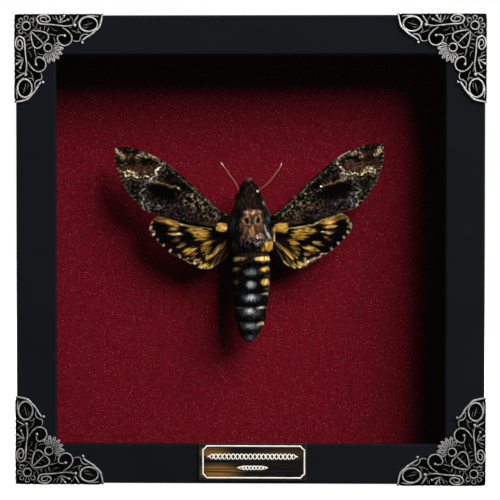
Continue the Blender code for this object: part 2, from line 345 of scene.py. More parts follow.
def lacqueredWood():
    # wood sprayed with satin black lacquer: even and deep, with a faint orange peel
    look = {"deep": "#0C0E12", "bloom": "#121419", "patchSize": 14, "peelSize": 1.4, "roughness": 0.42}
    material, tree, shader = startMaterial("satinLacqueredWood", {
        "Roughness": look["roughness"], "Specular IOR Level": 0.22})
    colour = blend(tree, grainOf(tree, look["patchSize"], 4, 0.6), rgba(look["deep"]), rgba(look["bloom"]))
    surface(tree, shader, colour, grainOf(tree, look["peelSize"]), 0.12)
    return material


def pictureGlass():
    # float glass with an anti-reflective coat, hence the low IOR: almost nothing shows on it
    return startMaterial("coatedPictureGlass", {
        "Base Color": (1, 1, 1, 1), "Roughness": 0.0, "IOR": 1.16, "Transmission Weight": 1.0})[0]


def crimsonBoard():
    # mat board faced with sueded paper: a fine grain, and specks that catch the light
    look = {"low": "#45050D", "high": "#76101F", "speck": "#D86E7C", "grainSize": 0.7, "speckGap": 0.85}
    material, tree, shader = startMaterial("suededMatBoard", {"Roughness": 0.9, "Specular IOR Level": 0.03})
    grain = grainOf(tree, look["grainSize"], 3, 0.65)
    colour = blend(tree, remap(tree, grain, 0.3, 0.7), rgba(look["low"]), rgba(look["high"]))
    cells = addNode(tree, "ShaderNodeTexVoronoi", None, {
        "Vector": addNode(tree, "ShaderNodeTexCoord").outputs["Object"], "Scale": 1000 / look["speckGap"]})
    near = remap(tree, cells.outputs["Distance"], 0.26, 0.12)
    picked = addNode(tree, "ShaderNodeSeparateColor", None, {"Color": cells.outputs["Color"]})
    few = remap(tree, picked.outputs["Red"], 0.3, 1.0, 0.0, 0.7)
    speck = addNode(tree, "ShaderNodeMath", {"operation": "MULTIPLY"}, {0: near, 1: few}).outputs[0]
    surface(tree, shader, blend(tree, speck, colour, rgba(look["speck"])), grain)
    return material


def grainy(name, low, high, size, roughness, depth, stretch=None, metallic=0.0, specular=0.4):
    # a plain stock material: two shades mixed by a grain of a real size, with the same grain as relief
    material, tree, shader = startMaterial(name, {
        "Roughness": roughness, "Metallic": metallic, "Specular IOR Level": specular})
    grain = grainOf(tree, size, 4, 0.6, stretch)
    colour = blend(tree, remap(tree, grain, 0.32, 0.68), rgba(low), rgba(high))
    surface(tree, shader, colour, grain, 0.5, depth)
    return material


def dress(start, material):
    # every CAD node whose name starts so
    for name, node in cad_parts.items():
        if name.startswith(start):
            node.data.materials.clear()
            node.data.materials.append(material)


# stage: camera, light, floor

stageLook = {
    "distance": 1.30, "azimuth": 2.0, "elevation": 2.0, "pixelsPerMm": 2.345, "sensor": 36.0,
    "lampDistance": 1.1, "lampSize": 0.7, "lampPower": 27.5, "rearPower": 15.0, "lampRight": 47, "lampUp": 51,
    "ambient": 0.02, "sheen": 0.19, "backdrop": 1.0,
}


def setStage():
    aim = Vector((centre.x, faceDepth, centre.z))
    azimuth, elevation = math.radians(stageLook["azimuth"]), math.radians(stageLook["elevation"])
    away = Vector((math.sin(azimuth) * math.cos(elevation), -math.cos(azimuth) * math.cos(elevation),
                   math.sin(elevation)))
    cameraData = bpy.data.cameras.new("camera")
    cameraData.sensor_width = stageLook["sensor"]
    cameraData.lens = stageLook["pixelsPerMm"] / mm * stageLook["distance"] * stageLook["sensor"] / 500
    camera = bpy.data.objects.new("camera", cameraData)
    camera.location = aim + away * stageLook["distance"]
    camera.rotation_euler = (-away).to_track_quat("-Z", "Y").to_euler()
    bpy.context.scene.collection.objects.link(camera)
    bpy.context.scene.camera = camera

    # one softbox up on the right, and a weaker one for the back, which the front never sees
    for word, ahead in (("softbox", -1), ("rearSoftbox", 1)):
        lampData = bpy.data.lights.new(word, "AREA")
        lampData.shape = "SQUARE"
        lampData.size = stageLook["lampSize"]
        lampData.energy = stageLook["lampPower" if ahead < 0 else "rearPower"]
        lamp = bpy.data.objects.new(word, lampData)
        toLamp = Vector((math.tan(math.radians(stageLook["lampRight"])), ahead,
                         math.tan(math.radians(stageLook["lampUp"])))).normalized()
        lamp.location = aim + toLamp * stageLook["lampDistance"]
        lamp.rotation_euler = (-toLamp).to_track_quat("-Z", "Y").to_euler()
        # counted once: shadows already let the lamp in through the glass, so no ray meets it there again
        lamp.visible_transmission = lamp.visible_glossy = False
        bpy.context.scene.collection.objects.link(lamp)

    # white behind the object for the camera, dim light from all round for everything else
    world = bpy.data.worlds.new("studio")
    world.use_nodes = True
    bpy.context.scene.world = world
    tree = world.node_tree
    background = tree.nodes["Background"]
    rays = addNode(tree, "ShaderNodeLightPath").outputs
    strength = remap(tree, rays["Is Camera Ray"], 0, 1, stageLook["ambient"], stageLook["backdrop"])
    # gloss sees pale studio walls, but what comes through the glass does not
    outside = addNode(tree, "ShaderNodeMath", {"operation": "SUBTRACT"}, {
        0: rays["Is Glossy Ray"], 1: rays["Is Transmission Ray"]})
    mirrored = addNode(tree, "ShaderNodeMath", {"operation": "GREATER_THAN"}, {0: outside.outputs[0], 1: 0.5})
    gloss = addNode(tree, "ShaderNodeMath", {"operation": "MULTIPLY_ADD"}, {
        0: mirrored.outputs[0], 1: stageLook["sheen"], 2: strength})
    background.inputs["Color"].default_value = (1, 1, 1, 1)
    tree.links.new(gloss.outputs[0], background.inputs["Strength"])
    bpy.context.scene.view_settings.view_transform = "Standard"

    bm = bmesh.new()
    bmesh.ops.create_grid(bm, x_segments=1, y_segments=1, size=2.5)
    floor = bpy.data.objects.new("floor", bpy.data.meshes.new("floor"))
    bm.to_mesh(floor.data)
    bm.free()
    floor.location.z = cadBox[0].z - 0.0002
    paper = startMaterial("whitePaperSweep", {
        "Base Color": (0.9, 0.9, 0.9, 1), "Roughness": 0.9, "Specular IOR Level": 0.1,
        "Emission Color": (1, 1, 1, 1), "Emission Strength": 1.0})[0]
    floor.data.materials.append(paper)
    # the paper neither lights the box from below nor shows on or through the glass
    floor.visible_diffuse = floor.visible_glossy = floor.visible_transmission = False
    bpy.context.scene.collection.objects.link(floor)


setStage()
print("stage set")

# frame, glass, board and back

# names that start so: material, dark and light, grain and roughness, relief, stretch, metallic, specular
backLook = {
    "spacer_": ("flockedFoamBoard", "#070506", "#0F0B0B", 0.8, 0.8, 0.05, None, 0.0, 0.02),
    "back_panel": ("pressedHardboard", "#4A3322", "#6E4E33", 1.6, 0.75, 0.12, (1, 1, 0.35)),
    "mounting_block": ("closedCellFoam", "#0A0A0A", "#171717", 0.5, 0.9, 0.1),
    "back_tab": ("galvanisedSpringSteel", "#6F7276", "#9A9DA0", 2.0, 0.38, 0.02, None, 1.0),
    "hanger_": ("zincPlatedSteel", "#A8A293", "#C9C3B2", 1.2, 0.32, 0.02, (1, 1, 4), 1.0),
    "leg_": ("waxedChitin", "#2B1A12", "#5A3C2A", 0.7, 0.4, 0.02),
}


def dressFrame():
    dress("rail_", lacqueredWood())
    dress("glass_pane", pictureGlass())
    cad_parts["glass_pane"].visible_shadow = False    # clear glass lets the lamp through to the board
    dress("mount_board", crimsonBoard())
    for start, look in backLook.items():
        dress(start, grainy(*look))


dressFrame()
print("frame dressed")

# wings: drawn for the right, mirrored for the left, and each turned a degree as the moth was pinned

wingLook = {
    "lead": (
        (6.5, 12.6), (10.6, 15.4), (17, 20.6), (24, 27.2), (31, 33.6), (38.2, 39.2), (46, 42.9),
        (53.4, 44.9), (57.9, 44.2),
    ),
    "trail": (
        (6.5, 9.0), (17, 10.4), (26, 12), (36, 14.9), (44.2, 16.9), (47.6, 19.2), (52.4, 24.6),
        (55.8, 31.2), (58, 39.5), (57.9, 44.2),
    ),
    "hindRim": (
        (8.0, 8.6), (20, 12), (30, 14.5), (37, 15.5), (40.5, 14.2), (43, 11.6), (43.6, 8.4), (41.4, 5),
        (38, 1.6), (34, -1.6), (29, -4.4), (24.2, -7.2), (19, -8.5), (14.8, -6.4), (11.2, -3.6), (9.2, 0),
        (8.0, 3),
    ),
    "foreVeins": (
        ((9, 12.5), (20, 18.5), (31, 26)), ((10, 13.6), (22, 23), (33, 32.5), (45, 41), (56, 44)),
        ((31, 26), (44, 36.5), (57.4, 42.2)), ((31, 26), (45, 33.5), (57.2, 38.2)),
        ((31, 26), (44, 29.8), (55.9, 33.2)), ((29, 24), (42, 26.2), (54, 28.6)),
        ((27, 22.2), (39, 22.4), (51, 23.6)), ((22, 19), (35, 18.5), (48, 19.8)),
        ((9, 11), (26, 13.8), (44, 17.4)),
    ),
    "hindBase": (8.0, 6.5), "foreGrid": (250, 100), "hindGrid": (250, 110),
    "foreDepth": -1.7, "hindDepth": -0.5, "thickness": 0.12, "camber": 0.6, "veinRise": 0.1, "pleat": 0.16,
    "turn": 1.0, "fringe": 0.5,
}

# markings, each painted over the ones before it; an oval is (x, z, half width, half height, turn)
wingMarks = {
    # pale scales along the coarse or fine squiggles of a noise: (oval, softness, share, kind, colour)
    "squiggles": (
        ((24.0, 21.5, 9.0, 4.6, 34), 0.6, 0.95, "coarse", "#A98F66"),
        ((20.5, 17.0, 8, 3.6, 32), 0.6, 0.7, "fine", "#8F7D63"),
        ((31, 16.5, 11, 4.0, 12), 0.5, 0.55, "fine", "#7E6B66"),
        ((40, 19.0, 5, 3.5, 20), 0.5, 0.55, "fine", "#857A74"),
        ((46.5, 25.5, 5.5, 6.5, 35), 0.5, 0.55, "coarse", "#7C7266"),
        ((29, 31.0, 14, 1.6, 42), 0.5, 0.5, "fine", "#77766F"),
        ((50, 39, 9, 5.0, 25), 0.5, 0.8, "coarse", "#B0966A"),
        ((53, 30, 3.5, 6, 10), 0.6, 0.5, "fine", "#6F6A62"),
        ((42, 31.0, 4, 2.6, 15), 0.5, 0.8, "fine", "#8F8A84"),
        ((33, 29.5, 7, 3.2, 40), 0.5, 0.55, "coarse", "#8A7350"),
    ),
    # red-brown and dark clots, most of them at the tip: (oval, softness, share, colour)
    "clots": (
        ((46.2, 35.6, 5.0, 1.5, 6), 0.5, 0.8, "#5A3626"), ((42.6, 36.6, 2.4, 1.1, 10), 0.6, 0.7, "#5A3826"),
        ((45.0, 39.6, 3.4, 1.2, 12), 0.4, 0.95, "#080605"),
        ((51.0, 43.4, 3.4, 0.9, 8), 0.5, 0.9, "#0C0907"), ((51.4, 39.4, 3.0, 1.2, 15), 0.5, 0.8, "#1A110C"),
        ((55.6, 40.4, 1.3, 2.4, 5), 0.5, 0.85, "#120C09"), ((54.5, 36.3, 2.6, 0.8, 0), 0.5, 0.8, "#4E2C1C"),
        ((28.6, 27.0, 3.0, 1.0, 20), 0.5, 0.9, "#060505"),
        ((19.0, 11.0, 3.6, 1.6, 4), 0.35, 0.85, "#5C3C28"),
        ((45.0, 37.8, 4.6, 0.5, 6), 0.5, 0.7, "#100A07"),
    ),
    # wavy pale lines, some with fainter ones beside them: (route, half width, spacing, colour)
    "waves": (
        (((56.9, 44.4), (55.6, 42.8), (54.2, 41.2)), 0.75, 0, "#E0C69A"),
        (((56.4, 42.3), (54.9, 41.3), (53.6, 40.9)), 0.4, 0, "#BC9E70"),
        (((44.0, 41.0), (45.6, 42.2), (47.6, 41.8), (48.4, 40.7), (47.2, 39.9)), 0.5, 0, "#B89F76"),
        (((37.0, 38.0), (39.1, 40.2), (42.6, 41.8)), 0.35, 0, "#B7A382"),
        (((37.2, 38.0), (37.8, 36.2), (40.4, 34.4), (39.6, 33.0), (42.2, 31.8)), 0.36, 1.5, "#DCCBAE"),
        (((42.2, 31.8), (44.6, 32.6), (47.0, 32.2), (48.6, 32.5), (51.0, 34.2), (53.3, 33.0), (53.8, 34.6)),
         0.42, 1.6, "#EBD0A0"),
        (((49.0, 33.9), (50.6, 35.2), (53.0, 34.9)), 0.35, 0, "#D8B88A"),
        (((56.5, 36.0), (54.9, 35.0)), 0.3, 0, "#C9B48C"),
        (((42.6, 30.8), (45.4, 29.2), (43.6, 27.9), (46.0, 26.4), (48.0, 25.6), (45.6, 24.0), (46.0, 22.4)),
         0.3, 1.5, "#948C7C"),
        (((45.2, 22.9), (46.5, 21.3), (45.7, 19.2), (46.2, 17.8)), 0.32, 0, "#BFAE92"),
        (((43.0, 21.4), (44.4, 20.2), (43.8, 18.4)), 0.3, 1.1, "#A9A39B"),
        (((31.4, 27.2), (35.0, 28.5), (39.2, 29.7), (41.4, 31.0)), 0.38, 0, "#93704A"),
        (((16.6, 16.6), (13.6, 13.8)), 0.3, 0, "#8D857A"),
    ),
    # hindwing: yellow patches turned to the veins: (x, z, half width, half height, share, colour)
    "patches": (
        (33.8, 12.2, 3.4, 1.25, 1.0, "#D0A04A"), (38.8, 13.9, 3.2, 1.1, 0.85, "#A8743A"),
        (34.0, 9.5, 2.1, 0.65, 0.95, "#C99D4E"), (33.4, 7.1, 2.4, 0.6, 0.95, "#BE9450"),
        (33.1, 4.6, 1.5, 0.8, 0.8, "#96703C"), (30.0, 2.3, 1.9, 0.75, 0.85, "#B98E58"),
        (26.4, -0.4, 2.6, 1.3, 0.95, "#BE9540"), (25.0, -2.4, 1.5, 0.9, 0.8, "#B08060"),
        (23.6, 7.9, 3.9, 1.3, 1.0, "#CE9E44"), (21.3, 5.8, 2.7, 1.5, 1.0, "#CC9838"),
        (19.3, 2.7, 2.2, 1.1, 0.95, "#C08A30"), (19.4, 0.4, 1.5, 1.2, 0.9, "#AE8436"),
        (19.4, -1.6, 1.0, 1.1, 0.7, "#8F7040"), (15.8, -1.3, 3.4, 0.75, 0.95, "#CE9E44"),
        # the last three patches, nearest the body, are painted duller, as shade
        (18.3, -3.2, 1.5, 0.9, 1.0, "#D0A24A"), (12.3, 1.6, 2.4, 0.7, 0.7, "#9A7A48"),
        (13.0, -2.6, 3.0, 0.5, 0.6, "#7A5C40"), (16.4, -5.0, 3.0, 0.45, 0.6, "#8A6A48"),
    ),
    # the black band across the middle, then the one near the margin: (route, half width, share)
    "bands": (
        (((30.2, 8.6), (27.6, 6.4), (25.0, 4.2), (22.6, -0.2), (21.0, -4.8)), 1.0, 0.9),
        (((39.6, 10.6), (36.0, 5.2), (31.5, 0.2), (27.0, -3.8)), 1.2, 0.7),
    ),
    # yellow and tan edges: (route, half width, colour)
    "rays": (
        (((14.2, -6.4), (18.7, -8.0), (22.4, -7.0), (23.6, -4.5)), 0.75, "#D9AE58"),
        (((20.5, -6.9), (22.6, -6.0)), 1.0, "#DDB768"),
        (((25.9, -5.6), (29.0, -4.2), (32.2, -2.0)), 0.4, "#C9A27C"),
        (((16.9, 8.9), (21.5, 9.5), (26.8, 10.4), (30.0, 11.7)), 0.32, "#E0C182"),
        (((31.2, 12.3), (36.3, 14.4), (40.3, 15.2), (43.0, 13.4), (43.9, 11.1), (43.0, 8.9)), 0.5,
         "#D2A55C"),
    ),
    "rimDots": ((43.2, 10.2), (42.2, 7.2), (40.6, 4.8), (38.1, 2.3), (35.2, 0.0)),
}


def foreColours(x, z, seed):
    # the pattern is laid out on the right wing as pinned
    x, z = poseWing(x, z, 1)
    wx, wz = wandered(x, z, 1.5, 2.0, seed + 5, seed + 9)
    lengthwise, crosswise = wx * 0.832 + wz * 0.555, -wx * 0.555 + wz * 0.832
    # squiggles are the ridges of a noise; grit breaks everything up
    coarse = 1 - np.abs(2 * noise(lengthwise / 1.6, crosswise / 1.9, seed + 20) - 1)
    fine = 1 - np.abs(2 * noise(lengthwise / 1.0, crosswise / 1.3, seed + 21) - 1)
    ridges = {"coarse": ease(0.8, 0.97, coarse), "fine": ease(0.76, 0.96, fine)}
    grit = noise(x / 0.55, z / 0.55, seed + 30)
    broken = ease(0.22, 0.6, grit)
    colours = tint(even(x, "#0C0907"), ease(0.45, 0.75, cloud(wx, wz, 2.2, seed + 40)) * 0.7, "#32221A")
    black = blob(wx, wz, (38.0, 26.0, 7.4, 2.3, 20), 0.35)
    for spot, soft, much, kind, code in wingMarks["squiggles"]:
        found = blob(wx, wz, spot, soft) * (1 - 0.95 * black) * much
        colours = tint(colours, found * ridges[kind] * broken, code)
    patchy = ease(0.5, 0.7, cloud(wx, wz, 1.5, seed + 44))
    colours = tint(colours, patchy * blob(x, z, (31, 17.2, 10, 3.4, 14), 0.4) * 0.55, "#4A3E3C")
    patchy = ease(0.4, 0.6, cloud(wx, wz, 1.6, seed + 50))
    colours = tint(colours, patchy * blob(wx, wz, (50, 38.5, 8, 5, 25), 0.4) * 0.6, "#4A3323")
    colours = paintSpots(colours, wx, wz, wingMarks["clots"])
    for route, width, gap, code in wingMarks["waves"]:
        far = awayFrom(wx, wz, route)
        lines = np.exp(-(far / width) ** 2)
        if gap:
            beside = ease(0.6, 0.98, np.cos(far / gap * math.tau)) * np.exp(-(far / (gap * 1.2)) ** 2)
            lines = np.maximum(lines, 0.4 * beside)
        colours = tint(colours, lines * ease(0.2, 0.5, grit), code)
    slash = nearLine(wx, wz, ((31.4, 27.2), (35, 28.5), (39.2, 29.7)), 0.7)
    colours = tint(colours, black * 0.9 * (1 - slash), "#040406")
    colours = tint(colours, blob(x, z, (30.6, 27.1, 0.4, 0.36), 0.4), "#F4EEE2")
    costa = smoothLine(wingLook["lead"][1:7], 24).tolist()
    colours = tint(colours, np.exp(-((awayFrom(x, z, costa) - 0.7) / 0.3) ** 2) * broken * 0.6, "#857460")
    # short pale ticks where the veins meet the outer edge
    rim = smoothLine(wingLook["trail"][4:], 30).tolist()
    ticks = ease(0.55, 0.95, np.cos(z / 1.75 * math.tau + 2 * noise(z / 3, x * 0, seed + 33)))
    colours = tint(colours, ticks * ease(1.9, 0.4, awayFrom(x, z, rim)) * 0.75, "#A3947C")
    return harsh(colours * (0.25 + 1.3 * noise(x / 0.7, z / 0.7, seed + 31))[..., None], 0.72)


def hindColours(x, z, seed):
    x, z = poseWing(x, z, 1)
    baseX, baseZ = wingLook["hindBase"]
    wx, wz = wandered(x, z, 0.9, 1.8, seed + 5, seed + 9)
    angle = np.degrees(np.arctan2(z - baseZ, x - baseX))
    out = np.hypot(x - baseX, z - baseZ)
    # everything is drawn out along the veins
    streak = noise(angle / 2.6, out / 9.0, seed + 60)
    fine = noise(angle / 1.3, out / 3.0, seed + 61)
    brush = (noise(angle / 1.7, out / 7.0, seed + 62) - 0.5) * 3.4
    wx, wz = wx + brush * np.cos(np.radians(angle)), wz + brush * np.sin(np.radians(angle))
    colours = tint(even(x, "#0D0908"), ease(0.5, 0.85, streak) * 0.5, "#2C1D17")
    for cx, cz, rx, rz, much, code in wingMarks["patches"]:
        turn = math.degrees(math.atan2(cz - baseZ, cx - baseX))
        patch = blob(wx, wz, (cx, cz, rx * 1.1, rz * 1.15, turn), 0.35)
        colours = tint(colours, patch * much * (0.25 + 0.75 * ease(0.2, 0.5, fine)), code)
    for route, width, much in wingMarks["bands"]:
        colours = tint(colours, nearLine(wx, wz, route, width) * much, "#0C0807")
    for route, width, code in wingMarks["rays"]:
        colours = tint(colours, nearLine(wx, wz, route, width) * 0.95, code)
    for cx, cz in wingMarks["rimDots"]:
        colours = tint(colours, blob(x, z, (cx, cz, 0.85, 0.5, -50)) * 0.9, "#D8B596")
    colours = tint(colours, blob(x, z, (31.3, 7.4, 0.8, 0.3, 0)), "#E6D6B4")
    colours = tint(colours, blob(x, z, (24.8, -5.6, 0.5, 0.6)), "#C6CBD2")
    return harsh(colours * (0.35 + 1.1 * noise(angle / 1.6, out / 1.5, seed + 31))[..., None], 0.58)


def poseWing(x, z, side):
    # the pinned turn of a wing about its root, then the mirror for the left one
    a = math.radians(wingLook["turn"] * side)
    turnedX = 10 + (x - 10) * math.cos(a) - (z - 12) * math.sin(a)
    turnedZ = 12 + (x - 10) * math.sin(a) + (z - 12) * math.cos(a)
    return side * turnedX, turnedZ


def gridMesh(name, columns, rows):
    # a grid, with its own places as shares from 0 to 1
    bm = bmesh.new()
    bmesh.ops.create_grid(bm, x_segments=columns, y_segments=rows, size=0.5)
    mesh = meshFrom(name, bm)
    shares = pointsOf(mesh)[:, :2] + 0.5
    return mesh, shares[:, 0], shares[:, 1]


def onLine(line, share):
    # the place on an evenly spaced line
    steps = np.linspace(0, 1, len(line))
    return np.interp(share, steps, line[:, 0]), np.interp(share, steps, line[:, 1])


def scaledWing():
    # overlapping dust-fine scales on membrane: matt, each scale's own colour painted on
    values = {"Roughness": 0.6, "Specular IOR Level": 0.03}
    material, tree, shader = startMaterial("scaledWingMembrane", values)
    dust = grainOf(tree, 0.28)
    surface(tree, shader, paintedColour(tree, remap(tree, dust, 0.3, 0.7, 0.6, 1.35)), dust, 0.8)
    return material


def finishWing(mesh, places, side, colours, kind, word, material):
    x, y, z = places
    wx, wz = poseWing(x, z, side)
    movePoints(mesh, place(np.stack((wx, y, wz), axis=1), mothShift))
    paint(mesh, colours)
    piece = addPiece(kind + word.title(), mesh, [material], [kind + "_" + word])
    skin = piece.modifiers.new("membrane", "SOLIDIFY")
    skin.thickness = wingLook["thickness"] * mm
    skin.offset = 0


def fringe(name, rim, y, side, colourOf, material, seed):
    # short hairs along the outer edge, in tufts between the veins
    random = np.random.default_rng(seed)
    count = int(np.linalg.norm(np.diff(rim, axis=0), axis=1).sum() * 34)
    share = random.random(count)
    x, z = onLine(rim, share)
    after, before = onLine(rim, np.minimum(share + 0.01, 1)), onLine(rim, np.maximum(share - 0.01, 0))
    ahead = unit(np.stack(after, 1) - np.stack(before, 1))
    out = np.stack((ahead[:, 1], -ahead[:, 0]), axis=1)        # every rim runs with the wing on its left
    lean = out + ahead * random.normal(0.15, 0.25, count)[:, None]
    x, z = x - out[:, 0] * 0.15, z - out[:, 1] * 0.15
    rootX, rootZ = poseWing(x, z, side)
    endX, endZ = poseWing(x + lean[:, 0], z + lean[:, 1], side)
    tuft = 0.6 + 0.4 * np.abs(np.sin(share * len(rim) * 0.9))
    direction = unit(np.stack((endX - rootX, random.normal(0, 0.12, count), endZ - rootZ), axis=1))
    length = wingLook["fringe"] * tuft * random.uniform(0.6, 1.15, count)
    roots = np.stack((rootX, y + random.normal(0, 0.03, count), rootZ), axis=1)
    shade = colourOf(x, z) * random.uniform(0.7, 1.5, count)[:, None]
    hairs(name, roots, direction, direction, towardsFront, length, np.full(count, 0.1), shade,
          material)


def buildWings():
    material = scaledWing()
    lead, trail = smoothLine(wingLook["lead"], 200), smoothLine(wingLook["trail"], 200)
    hindRim = smoothLine(wingLook["hindRim"], 300)
    baseX, baseZ = wingLook["hindBase"]
    for word, side, foreSeed, hindSeed in (("left", -1, 300, 700), ("right", 1, 100, 500)):
        mesh, out, back = gridMesh("foreScales", *wingLook["foreGrid"])
        leadX, leadZ = onLine(lead, out)
        trailX, trailZ = onLine(trail, out)
        x, z = leadX + (trailX - leadX) * back, leadZ + (trailZ - leadZ) * back
        y = wingLook["foreDepth"] - wingLook["camber"] * np.sin(math.pi * back) * (1 - out * 0.8)
        y = y + 0.5 * (cloud(x, z, 14, foreSeed + 70, 2) - 0.5)
        for route in wingLook["foreVeins"]:
            y = y - wingLook["veinRise"] * nearLine(x, z, smoothLine(route, 12).tolist(), 0.3)
        colours = foreColours(x, z, foreSeed)
        finishWing(mesh, (x, y, z), side, colours, "forewing", word, material)
        fringe("foreFringe" + word.title(), trail[:190], wingLook["foreDepth"], side,
               lambda a, b: foreColours(a, b, foreSeed) + 0.02, material, foreSeed)

        mesh, along, out = gridMesh("hindScales", *wingLook["hindGrid"])
        rimX, rimZ = onLine(hindRim, along)
        x, z = baseX + (rimX - baseX) * out, baseZ + (rimZ - baseZ) * out
        pleats = np.sin(along * math.pi * 26 + 1.5 * noise(along * 9, out * 2, hindSeed))
        pleats = pleats * ease(0.15, 0.6, out)
        ripple = 0.7 * (cloud(x, z, 10, hindSeed + 70, 2) - 0.5)
        y = wingLook["hindDepth"] + wingLook["pleat"] * pleats + ripple
        colours = hindColours(x, z, hindSeed)
        finishWing(mesh, (x, y, z), side, colours, "hindwing", word, material)
        fringe("hindFringe" + word.title(), hindRim[90:285][::-1], wingLook["hindDepth"], side,
               lambda a, b: hindColours(a, b, hindSeed) + 0.04, material, hindSeed)


buildWings()
print("wings scaled")

# body: skins that fur grows from; a station is (height, middle, half width, depth in front, depth behind)

bodyLook = {
    "foreBody": (
        (0.2, 0.3, 7.3, 5.0, 4.6), (3, 0.4, 8.4, 5.7, 5.0), (7, 0.5, 9.0, 6.1, 5.3),
        (11, 0.4, 9.0, 6.1, 5.3), (15, 0.2, 8.2, 5.7, 5.0), (18, -0.1, 6.9, 5.2, 4.6),
        (20.5, -0.3, 5.8, 4.7, 4.0), (23, -0.5, 4.9, 4.2, 3.5), (25.5, -0.7, 3.9, 3.6, 3.0),
        (27.5, -0.8, 2.1, 2.3, 2.0), (29, -0.9, 0.9, 1.1, 1.0), (29.8, -0.9, 0.2, 0.2, 0.2),
    ),
    "abdomen": (
        (-40.1, -0.6, 0.2, 0.2, 0.2), (-39.5, -0.6, 1.6, 1.3, 1.2), (-38.2, -0.5, 2.9, 2.3, 2.1),
        (-35.5, -0.3, 4.7, 3.5, 3.2), (-31, -0.1, 6.2, 4.5, 4.1), (-25, 0.0, 7.2, 5.2, 4.7),
        (-19, 0.1, 7.8, 5.6, 5.0), (-11, 0.2, 8.1, 5.8, 5.2), (-4, 0.2, 8.0, 5.7, 5.1),
        (1.5, 0.3, 7.2, 5.1, 4.5),
    ),
    "ringEdges": (1.5, -1.5, -7.0, -12.3, -18.5, -24.7, -31.2, -36.3, -40.6),
    "foreBodyGrid": (200, 220), "abdomenGrid": (160, 300), "seed": 41,
}

